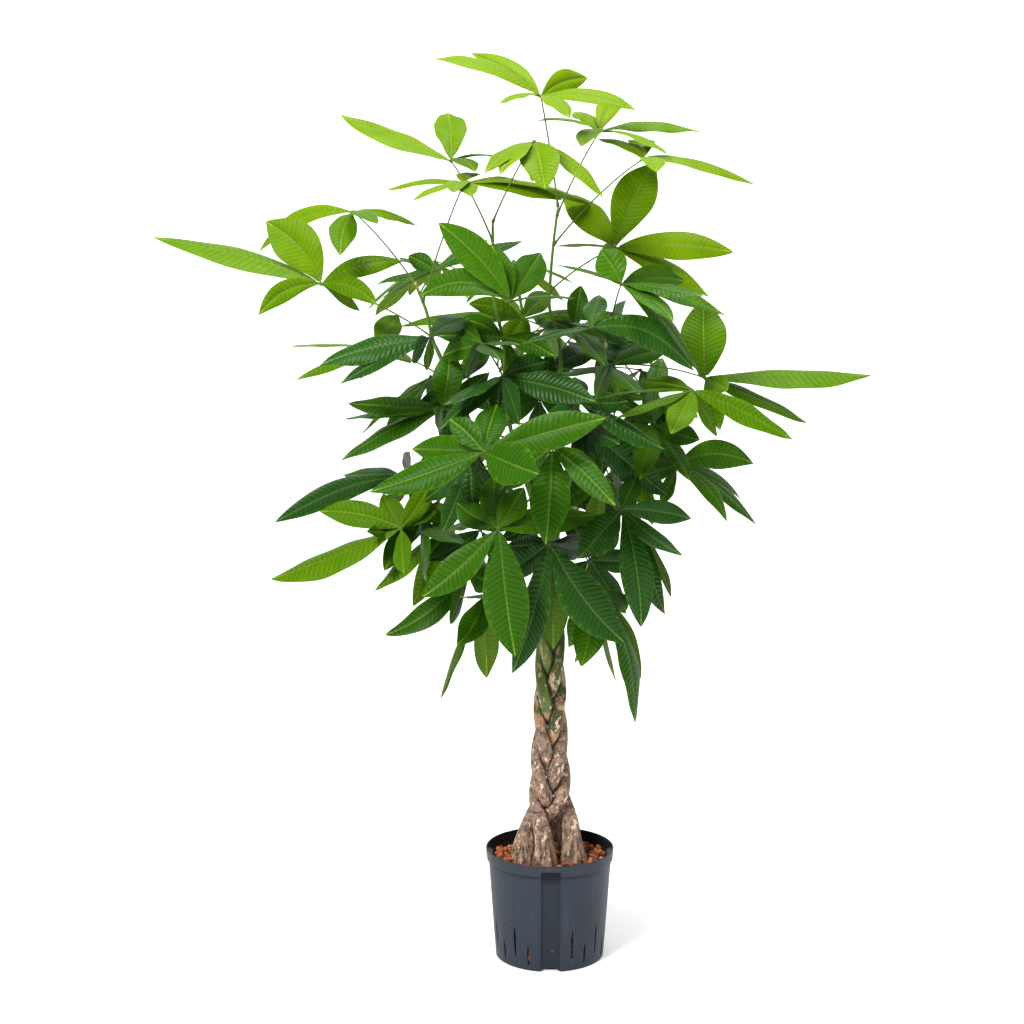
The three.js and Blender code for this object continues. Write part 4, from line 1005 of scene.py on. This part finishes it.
def add_blade(piece, leaf, blade, leaf_tone):
    hub, tip = leaf["hub_place"], blade["tip"]
    length = np.linalg.norm(tip - hub)
    width = blade["width"]
    if width is None:
        width = min(max(WIDTH_OF_LENGTH * length, blade["shows"]), WIDEST)
    shows = blade["shows"]
    edge_on = smoothstep(*EDGE_ON, (shows or BROADER * width) / (BROADER * width))
    if shows is not None:
        shows = min(SHOWS_MORE[1] * shows + SHOWS_MORE[0], width)
    upper, across = lay_blade(hub, tip, width, shows)
    half = BROADER * width / 2
    veins = int(np.clip(round(length / VEIN_PITCH), *VEINS))
    fullest = rng.uniform(*FULLEST)
    taper = rng.uniform(*TAPER)
    fold = mix(rng.uniform(*FOLD), rng.uniform(*FOLD_EDGE_ON), edge_on)
    curl = rng.uniform(*CURL)
    arch = table_at(BLADE_BOW, hub[2]) if blade["bow"] is None else blade["bow"]
    bend = rng.normal(0, BEND) * length
    twist = math.radians(rng.normal(0, TWIST))
    droop = rng.uniform(*DROOP) * length
    waves = rng.uniform(*WAVES, 2)
    wave_starts = rng.uniform(0, TURN, 2)
    wave = rng.uniform(*WAVE) * min(1, half / FULL_WAVE) * mix(1, 0.6, edge_on)
    quilt = QUILT * min(1, half / FULL_QUILT)

    def middle(share):
        """The blade's midline."""
        share = np.asarray(share)[..., None]
        bow = 4 * share * (1 - share)
        return (hub + (tip - hub) * share + upper * bow * (arch * length)
                + across * np.sin(math.pi * share) * bend + upper * np.sin(math.pi * share**2) * droop)

    # In rows along the veins: how far off the midline, as a share of the half width, how far along it, as a
    # share of the length, and the reach off it in mm.
    phase = np.linspace(0, veins, ROWS_PER_VEIN * veins + 1)[:, None]
    off = COLUMNS[None, :]
    outward = np.abs(off)
    rows = phase / veins
    slant = min(LEAN, 0.5 * half / length)
    along = BLADE_START + (1 - BLADE_START) * (rows + slant * 4 * rows * (1 - rows) * outward**1.15)
    along = np.clip(along, 0, 1)
    outline = np.sin(math.pi * along**fullest)**taper
    reach = half * np.maximum(outline, np.where(along < 0.5, *LEAST_REACH))
    sideways, face = square_to(units(middle(along + 0.01) - middle(along - 0.01)), across)
    turn = (twist * (along - 0.35))[..., None]
    sideways, face = (sideways * np.cos(turn) + face * np.sin(turn),
                      face * np.cos(turn) - sideways * np.sin(turn))

    # The height over the midline: fold, quilting between the veins, groove and waves.
    height = reach * (fold * outward - curl * off**2)
    cushion = np.abs(np.sin(math.pi * phase))**0.7
    height = height + quilt * cushion * smoothstep(0.02, 0.3, outward) * smoothstep(1.05, 0.75, outward)
    groove = np.exp(-(outward * reach / GROOVE_WIDTH)**2) * smoothstep(0, 0.15, 1 - rows)
    height = height - GROOVE_DEPTH * groove
    side = (off > 0).astype(int)
    ripple = np.sin(TURN * waves[side] * along + wave_starts[side])
    height = height + wave * off**2 * ripple * smoothstep(0, 0.15, along) * smoothstep(0, 0.1, 1 - along)
    places = middle(along) + sideways * (off * reach)[..., None] + face * height[..., None]
    too_high = max(0.0, np.max(places[..., 2]) - HIGHEST)
    places[..., 2] -= too_high * smoothstep(0, 0.25, along)

    # The upper side, the coarser underside, and the midrib below it.
    veins_map = np.stack(np.broadcast_arrays(phase, off), axis=-1)
    reach_map = np.stack([off * reach, along], axis=-1)
    tone = float(np.clip(leaf_tone + rng.normal(0, 0.2), 0, 1))
    piece.grid(places, skin=0, tone=tone, Veins=veins_map, Reach=reach_map)
    depth = UNDER_DEPTH * (1 - off**2) * smoothstep(0, 0.05, 1 - rows)
    under = places - face * depth[..., None]
    last = len(COLUMNS) - 1
    pick = np.ix_(range(0, len(phase), 2), [0, *range(1, last, 2), last])
    piece.grid(under[pick], skin=1, flip=True, tone=tone, Veins=veins_map[pick], Reach=reach_map[pick])
    share = np.linspace(0, MIDRIB_END, 16)
    spine = middle(share)
    thick = mix(*MIDRIB, share) * min(1, 0.5 + length / 260)
    spine_face = square_to(units(np.gradient(spine, axis=0)), across)[1]
    spine = spine - spine_face * (0.35 + 0.75 * thick)[:, None]
    spine[0] = hub
    piece.tube(tube_rings(spine, thick, 6), skin=2, tone=tone)


def add_stalk(piece, leaf, leaf_tone):
    share = np.linspace(0, 1, 21)
    curve = stalk_places(leaf, leaf["swing"], share)
    (low_swell, low), (high_swell, high) = STALK_SWELLS
    radii = (STALK_SLIMMER * mix(*STALK_RADIUS, share) + low_swell * np.exp(-(share / low)**2)
             + high_swell * np.exp(-((1 - share) / high)**2))
    piece.tube(closed_tube(curve, radii, 10), skin=2, tone=leaf_tone)
    knob = leaf["hub_place"] + unit(curve[-1] - curve[-2]) * KNOB[:, None]
    piece.tube(closed_tube(knob, KNOB_RADII, 10), skin=2, tone=leaf_tone)


ABOVE = {look: leaf_surface(look, below=False) for look in LOOKS}
BELOW = {look: leaf_surface(look, below=True) for look in LOOKS}
STALKS = {look: stalk_surface(look) for look in LOOKS}
for name in dict.fromkeys(leaf["name"] for leaf in leaves):
    own = [leaf for leaf in leaves if leaf["name"] == name]
    look = own[0]["look"]
    piece = Piece(name + "_fine", maps=("Veins", "Reach"))
    for leaf in own:
        young = mix(0.1, 0.9, smoothstep(*AGES, leaf["hub_place"][2]))
        leaf_tone = float(np.clip(young + rng.uniform(-0.22, 0.22), 0, 1))
        add_stalk(piece, leaf, leaf_tone)
        for blade in leaf["blades"]:
            add_blade(piece, leaf, blade, leaf_tone)
    piece.make([ABOVE[look], BELOW[look], STALKS[look]], name, f"leaf_{look}")


# The stems, fine: as wide as they grow, or pressed against their neighbours.

# How far a stem keeps from its neighbours, its girth beside that of its solid by height, how near the next
# stem the painted shade of the creases between them reaches, and how far off a neighbour is looked for, in
# mm.
PRESSED = -0.8
FULLER = [[120, 1.04], [300, 1.0], [420, 1.02], [520, 1.08], [640, 1.08], [720, 0.93], [900, 0.75],
          [1400, 0.7]]
CREASE_SHADE_REACH = 3.5
ROOM_SEARCH = 60
# The waves of the bark and of the roots at the foot: how deep, how many round, and the mm up for a radian.
BUMPS = ((0.035, 2, 46), (0.03, 3, -31), (0.018, 5, 17), (0.02, 0, 12))
ROOTS = ((0.1, 4, math.inf), (0.07, 7, 30))
FINE_PATHS = []
for index in range(len(STEMS)):
    top = SHOOTS[index][-1, 2]
    heights = np.linspace(STEM_FOOT, top, round((top - STEM_FOOT) / FINE_STEP) + 1)
    FINE_PATHS.append(stem_path(index, heights))


def stem_rooms(index, rings, path):
    """How far each corner of a stem's rings may stand out before it meets one of the other stems."""
    others = np.concatenate([other for number, other in enumerate(FINE_PATHS) if number != index])
    rooms = np.empty(rings.shape[:2])
    for step, (middle, ring) in enumerate(zip(path, rings)):
        away = others - middle
        near = away[np.linalg.norm(away, axis=1) < ROOM_SEARCH]
        facing = units(ring - middle) @ near.T
        halfway = np.sum(near**2, axis=1) / 2
        room = np.where(facing > 0.01, halfway / np.maximum(facing, 0.01), ROOM_SEARCH)
        rooms[step] = np.min(room, axis=1, initial=ROOM_SEARCH)
    return rooms


def stem_piece(index):
    path = FINE_PATHS[index]
    z = path[:, 2][:, None]
    turns = (TURN * np.arange(STEM_SIDES) / STEM_SIDES)[None, :]
    bumps, roots = (sum(deep * np.sin(count * turns + z / pitch + rng.uniform(0, TURN))
                        for deep, count, pitch in table) for table in (BUMPS, ROOTS))
    bumps = bumps * smoothstep(1000, 700, z) + roots * smoothstep(235, 180, z)
    radii = table_at(FULLER, z) * table_at(STEM_RADIUS, z) * (1 + bumps)
    rooms = stem_rooms(index, tube_rings(path, radii, STEM_SIDES), path)
    rings = closed_tube(path, np.minimum(radii, rooms + PRESSED), STEM_SIDES)
    # Painted shade in the creases, strongest where the stem is pressed against a neighbour.
    crease_shade = smoothstep(CREASE_SHADE_REACH, 0, rooms + PRESSED - radii)
    crease_shade = np.concatenate([crease_shade[:1], crease_shade, crease_shade[-1:]])
    near_bud = smoothstep(16, 5, np.max(z) - rings[:, :, 2])
    piece = Piece(STEMS[index]["name"] + "_fine", maps=("Skin", "Crease"))
    piece.tube(rings, tone=rng.uniform(0.3, 0.7), Skin=np.stack([near_bud, rings[:, :, 2]], axis=-1),
               Crease=np.stack([crease_shade, crease_shade], axis=-1))
    return piece


bark = bark_surface()
for index, stem in enumerate(STEMS):
    stem_piece(index).make([bark], stem["name"], "bark")


# The pot: a turned wall with its flutes pressed in, then the slots and notches cut.

POT_TURNS = 240
POT_EDGE = 0.9
# Where the rim band starts.
POT_SHOULDER = POT_HEIGHT - RIM_BAND
# Further columns where a flute's edges bend the wall, in degrees from its middle.
FLUTE_BENDS = (8.1, 8.4, 8.7, 9.3, 9.6, 9.9, 10.2)
# How far the slots' and notches' cutters stand out of the wall.
SLOT_CUT = 15
NOTCH_CUT = 6
# A notch's outline is closed this far below the pot.
NOTCH_CLOSED = 3
# How dark the painted shade makes the flutes, their heads beside that, and the groove under the rim band,
# from 0 to 1.
FLUTE_SHADE = 0.42
HEAD_SHADE = 0.58
RIM_SHADE = 0.6


def wall_radius(z):
    return mix(BASE_RADIUS, WALL_TOP_RADIUS, z / POT_SHOULDER)


def inner_radius(z):
    return wall_radius(z) - WALL


def pot_outline():
    """Radius and height of the pot's outside, from the middle of its underside to the top of its rim."""
    rows = [(0, 0), (40, 0), (80, 0), (BASE_RADIUS - 2, 0), (BASE_RADIUS - 0.6, 0.6), (BASE_RADIUS, 2)]
    rows += [(wall_radius(z), z) for z in np.linspace(5, POT_SHOULDER - 1.5, 40)]
    rows += [(wall_radius(POT_SHOULDER) + 0.3, POT_SHOULDER), (RIM_RADIUS - 1.6, POT_SHOULDER + 0.9),
             (RIM_RADIUS - 1, POT_SHOULDER + 2)]
    rows += [(mix(RIM_RADIUS - 1, RIM_RADIUS, share), mix(POT_SHOULDER + 2, POT_HEIGHT - POT_EDGE, share))
             for share in np.linspace(0.08, 1, 14)]
    rows += [(RIM_RADIUS - 0.3 * POT_EDGE, POT_HEIGHT - 0.3 * POT_EDGE)]
    rows += [(RIM_RADIUS - POT_EDGE, POT_HEIGHT)]
    return np.array(rows, dtype=float)


def pot_inline():
    """The same for its inside, from the top of the rim down to the floor."""
    rim = RIM_RADIUS - WALL
    rows = [(rim + 0.4, POT_HEIGHT - 0.2), (rim, POT_HEIGHT - 1)]
    rows += [(mix(rim, RIM_RADIUS - 1 - WALL, share), mix(POT_HEIGHT - 1, POT_SHOULDER + 4, share))
             for share in np.linspace(0.1, 1, 10)]
    rows += [(inner_radius(z), z) for z in np.linspace(POT_SHOULDER - 1, FLOOR + 2, 30)]
    rows += [(inner_radius(FLOOR) - 3, FLOOR), (50, FLOOR), (0, FLOOR)]
    return np.array(rows, dtype=float)


def pressed_wall(rows, inside):
    """The turned surface with its flutes: places in rows up the pot and columns round it."""
    turns = [TURN * step / POT_TURNS for step in range(POT_TURNS)]
    turns += [quarter * math.pi / 2 + sign * math.radians(degrees)
              for quarter in range(4) for sign in (-1, 1) for degrees in FLUTE_BENDS]
    turns = np.array(sorted({round(float(turn) % TURN, 6) for turn in turns}))
    quarter_turn = (turns + math.pi / 4) % (math.pi / 2) - math.pi / 4
    radius, z = rows[:, :1], rows[:, 1:]
    wall = WALL if inside else 0
    edge = FLUTE["edge"]
    half = FLUTE["half_width"] + wall
    top = POT_HEIGHT - FLUTE["below_rim"] + wall
    lateral = np.abs(radius * np.sin(quarter_turn))
    share = smoothstep(half + edge, half - edge, lateral) * smoothstep(top + edge, top - edge, z)
    plane = (wall_radius(z) - FLUTE["depth"] - wall) / np.cos(quarter_turn)
    deep = np.where(radius > plane, mix(radius, plane, share), radius)
    return np.stack([deep * np.cos(turns), deep * np.sin(turns), np.broadcast_to(z, deep.shape)], axis=-1)


def flute_shade(wall):
    """How dark the painted shade in the flutes and under the rim makes the wall, from 0 to 1."""
    radius = np.hypot(wall[..., 0], wall[..., 1])
    z = wall[..., 2]
    pressed = smoothstep(1.0, FLUTE["depth"] - 1.0, wall_radius(z) - radius)
    pressed = pressed * smoothstep(POT_HEIGHT, POT_SHOULDER, z)
    head = POT_HEIGHT - FLUTE["below_rim"]
    under_rim = smoothstep(7, 0, np.abs(POT_SHOULDER - 1 - z)) * (radius < RIM_RADIUS - 2)
    in_head = pressed * smoothstep(head - 30, head - 6, z)
    return FLUTE_SHADE * pressed + HEAD_SHADE * in_head + RIM_SHADE * under_rim


def cutter(outline, y_from, y_to, turn):
    """A closed prism: an outline of x and z, from one y to another, turned about the pot's axis."""
    count = len(outline)
    angle = math.radians(turn)
    corners = [(x * math.cos(angle) - y * math.sin(angle), x * math.sin(angle) + y * math.cos(angle), z)
               for y in (y_from, y_to) for x, z in outline]
    faces = [list(range(count)), list(range(2 * count - 1, count - 1, -1))]
    faces += [[i, i + count, (i + 1) % count + count, (i + 1) % count] for i in range(count)]
    return corners, faces


def slot_outline(bottom, top):
    narrow, widest = SLOT_HALF_WIDTH
    shoulder = mix(bottom, top, 0.6)
    left = [(-narrow, bottom), (-widest, shoulder), (-widest * 0.8, mix(shoulder, top, 0.5)), (-0.5, top)]
    return left + [(-x, z) for x, z in reversed(left)]


def notch_outline():
    radius = NOTCH["radius"]
    centre = NOTCH["height"] - radius
    wide = math.acos((-NOTCH_CLOSED - centre) / radius)
    return [(radius * math.sin(turn), centre + radius * math.cos(turn))
            for turn in np.linspace(-wide, wide, 25)]


def slots():
    """The pot's slots: the angle of each, and its bottom and top."""
    for quarter in range(4):
        for number, angle in enumerate(SLOT_ANGLES):
            yield angle + 90 * quarter, *(LOW_SLOT if number % 2 else HIGH_SLOT)


def cut_pot(solid, cutters):
    corners, faces = [], []
    for own_corners, own_faces in cutters:
        faces += [[index + len(corners) for index in face] for face in own_faces]
        corners += own_corners
    tool = add_object("pot_cutters", new_mesh("pot_cutters", corners, faces))
    cut = solid.modifiers.new("slots", "BOOLEAN")
    cut.operation = "DIFFERENCE"
    cut.solver = "EXACT"
    cut.object = tool
    bpy.context.view_layer.update()
    cut_solid = solid.evaluated_get(bpy.context.evaluated_depsgraph_get())
    whole = bpy.data.meshes.new_from_object(cut_solid)
    solid.modifiers.remove(cut)
    old = solid.data
    solid.data = whole
    bpy.data.meshes.remove(old)
    bpy.data.objects.remove(tool)


def make_pot():
    outside = pressed_wall(pot_outline(), False)
    wall = np.concatenate([outside, pressed_wall(pot_inline(), True)])
    piece = Piece("pot_fine")
    piece.tube(wall)
    rows, columns = wall.shape[:2]
    # The tone carries the painted shade of the flutes and of the groove under the rim.
    piece.tones = [flute_shade(wall).reshape(-1)]
    piece.skins = [np.repeat(np.arange(rows - 1) >= len(outside) - 1, columns).astype(int)]
    pot = piece.make([pot_surface(False), pot_surface(True)], "pot", "pot")
    cutters = [cutter(slot_outline(bottom, top), -BASE_RADIUS + SLOT_CUT, -BASE_RADIUS - SLOT_CUT, angle)
               for angle, bottom, top in slots()]
    cutters += [cutter(notch_outline(), -BASE_RADIUS + NOTCH["length"], -BASE_RADIUS - NOTCH_CUT, angle)
                for angle in (0, 90, 180, 270)]
    cut_pot(pot, cutters)


make_pot()


# The clay granules.

# The granules' radii, how many lie on top and behind each slot, and how far they keep from a stem.
GRANULE = (3.4, 6.8)
TOP_GRANULES = 660
SLOT_GRANULES = 16
STEM_ROOM = 17
# A granule's shape: the least and most of each of its sizes, and its dents. How far it is scattered across,
# how far up and down, and how much higher the outer ones lie, from one distance to another.
GRANULE_SIZES = (0.62, 1.0)
DENTS = 0.11
SCATTER = 1.3
RELIEF = (-6, 4.5)
HEAPED = 3
HEAP = (40, 95)
# The core under them: its top, how far it keeps from the pot's wall, and its sides.
CORE_TOP = 164
CORE_ROOM = 6
CORE_SIDES = 48


def ball():
    """The corners and faces of a coarse ball."""
    golden = (1 + math.sqrt(5)) / 2
    corners = [(-1, golden, 0), (1, golden, 0), (-1, -golden, 0), (1, -golden, 0),
               (0, -1, golden), (0, 1, golden), (0, -1, -golden), (0, 1, -golden),
               (golden, 0, -1), (golden, 0, 1), (-golden, 0, -1), (-golden, 0, 1)]
    faces = [(0, 11, 5), (0, 5, 1), (0, 1, 7), (0, 7, 10), (0, 10, 11), (1, 5, 9), (5, 11, 4),
             (11, 10, 2), (10, 7, 6), (7, 1, 8), (3, 9, 4), (3, 4, 2), (3, 2, 6), (3, 6, 8), (3, 8, 9),
             (4, 9, 5), (2, 4, 11), (6, 2, 10), (8, 6, 7), (9, 8, 1)]
    corners = [unit(np.array(corner, dtype=float)) for corner in corners]
    finer = []
    halves = {}

    def half(a, b):
        key = (min(a, b), max(a, b))
        if key not in halves:
            halves[key] = len(corners)
            corners.append(unit(corners[a] + corners[b]))
        return halves[key]

    for a, b, c in faces:
        ab, bc, ca = half(a, b), half(b, c), half(c, a)
        finer += [(a, ab, ca), (b, bc, ab), (c, ca, bc), (ab, bc, ca)]
    return np.array(corners), np.array(finer)


def spin():
    matrix, _ = np.linalg.qr(rng.normal(size=(3, 3)))
    return matrix * math.copysign(1, np.linalg.det(matrix))


def clay_core():
    """The plain body under the granules: its corners and its faces, of three corners each. Its wall is
    given by heights in the pot, whose radius it follows, and its own heights."""
    walls = ((FLOOR, FLOOR + 1), (60, 60), (120, 120), (160, 162))
    rows = [(0, FLOOR + 1), *((inner_radius(z) - CORE_ROOM, height) for z, height in walls), (0, CORE_TOP)]
    turns = TURN * np.arange(CORE_SIDES) / CORE_SIDES
    sheet = Piece("core")
    sheet.tube(np.array([[around(radius, turn, z) for turn in turns] for radius, z in rows]))
    quads = sheet.faces[0]
    return sheet.corners[0], np.concatenate([quads[:, [0, 1, 2]], quads[:, [0, 2, 3]]])


def make_clay():
    piece = Piece("clay_fine")
    corners, faces = ball()
    feet = [stem_place(index, CLAY_TOP - 3)[:2] for index in range(len(STEMS))]

    def add(place, size, tone):
        shape = corners * rng.uniform(*GRANULE_SIZES, 3) * size
        shape = shape * (1 + rng.normal(0, DENTS, (len(corners), 1)))
        piece.add(shape @ spin().T + place, faces, tone=tone)

    room = inner_radius(CLAY_TOP)
    for number in range(TOP_GRANULES):
        spiral = number * math.pi * (3 - math.sqrt(5))
        size = rng.uniform(*GRANULE)
        out = (room - 0.8 * size) * math.sqrt((number + 0.5) / TOP_GRANULES)
        place = around(out, spiral, 0) + rng.normal(0, SCATTER, 3)
        place[2] = CLAY_TOP - 5 + rng.uniform(*RELIEF) + HEAPED * smoothstep(*HEAP, out)
        near, far = sorted(abs(place[:2]))
        in_flute = near < FLUTE["half_width"] + WALL + size and far > room - FLUTE["depth"] - size - 0.5
        outside = math.hypot(*place[:2]) > room - 0.75 * size
        in_stem = any(math.hypot(*(place[:2] - foot)) < STEM_ROOM for foot in feet)
        if not (outside or in_stem or in_flute):
            add(place, size, rng.uniform(0, 1))
    for angle, bottom, top in slots():
        for _ in range(SLOT_GRANULES):
            z = rng.uniform(max(bottom, FLOOR + 5), top)
            size = rng.uniform(*GRANULE)
            turn = math.radians(angle - 90 + rng.uniform(-3.2, 3.2))
            out = inner_radius(z) - size - rng.uniform(0.4, 4)
            add(around(out, turn, z), size, rng.uniform(0, 0.8))
    # Painted shade: the core takes the darkest clay tint, to stand dark in the gaps between the granules.
    piece.add(*clay_core(), tone=0.0)
    piece.make([clay_surface()], "clay_granules", "clay")


make_clay()


# The floor, the lights and the camera. The stage's lengths are in mm, and the lights' in metres.

FLOOR_FRONT = -9000
FLOOR_BACK = 5000
BACKDROP_CURVE = 1500
BACKDROP_TOP = 9000
STAGE_HALF_WIDTH = 12000
# The backdrop glows a little, and more beyond the plant, to stand as evenly pale as in the photograph.
GLOW_NEAR = 0.35
GLOW_FAR = 0.85
GLOW_RISES = (1.0, 3.5)
# Each light's place, the place that it faces, its width and its watts.
LIGHTS = {
    "key": ((-1.6, -2.4, 3.2), (0, 0, 0.9), 1.2, 168),
    "fill": ((2.6, -2.4, 2.0), (0, 0, 0.8), 2.0, 32),
    "top": ((0.3, 0.1, 4.0), (0, 0, 1.0), 1.6, 125),
}
WORLD_STRENGTH = 0.08
FARTHEST = 100


def make_floor():
    """A pale floor that curves up into a backdrop far behind."""
    profile = [(FLOOR_FRONT, 0), (FLOOR_BACK, 0)]
    curve = BACKDROP_CURVE
    profile += [(FLOOR_BACK + curve * math.sin(turn), curve - curve * math.cos(turn))
                for turn in np.linspace(0.1, math.pi / 2, 12)]
    profile += [(FLOOR_BACK + curve, BACKDROP_TOP)]
    corners = [(x, y, z) for y, z in profile for x in (-STAGE_HALF_WIDTH, STAGE_HALF_WIDTH)]
    faces = [(2 * i, 2 * i + 1, 2 * i + 3, 2 * i + 2) for i in range(len(profile) - 1)]
    mesh = new_mesh("floor", corners, faces)
    mesh.polygons.foreach_set("use_smooth", np.ones(len(faces), dtype=bool))
    floor = add_object("floor", mesh)
    pale = Surface("pale_floor")
    far = pale.node("ShaderNodeVectorMath", operation="LENGTH")
    pale.link(pale.place, far.inputs[0])
    glow = pale.line(pale.step(far.outputs["Value"], *GLOW_RISES), GLOW_FAR - GLOW_NEAR, GLOW_NEAR)
    pale.link(glow, pale.shader.inputs["Emission Strength"])
    pale.link((1, 1, 1), pale.shader.inputs["Emission Color"])
    mesh.materials.append(pale.finish(TINTS["floor"], 0.9, 0.1))


def add_light(name, place, target, size, watts):
    light = bpy.data.lights.new(name, "AREA")
    light.shape = "DISK"
    light.size = size
    light.energy = watts
    lamp = add_object(name, light)
    lamp.location = place
    x, y, z = np.array(target) - np.array(place)
    lamp.rotation_euler = (math.atan2(math.hypot(x, y), -z), 0, math.atan2(-x, y))


def make_world():
    world = bpy.data.worlds.new("studio")
    world.use_nodes = True
    sky = world.node_tree.nodes["Background"]
    sky.inputs["Color"].default_value = (1, 1, 1, 1)
    sky.inputs["Strength"].default_value = WORLD_STRENGTH
    bpy.context.scene.world = world


def make_camera():
    camera = bpy.data.cameras.new("viewer")
    camera.lens = LENS_PIXELS / VIEW_PIXELS * SENSOR
    camera.sensor_width = SENSOR
    camera.clip_end = FARTHEST
    viewer = add_object("viewer", camera)
    viewer.location = [value * MM for value in EYE]
    viewer.rotation_euler = (math.pi / 2 - LOOKING_DOWN, 0, 0)
    bpy.context.scene.camera = viewer


make_floor()
make_world()
make_camera()
for name, row in LIGHTS.items():
    add_light(name, *row)
bpy.context.scene.view_settings.view_transform = "Standard"
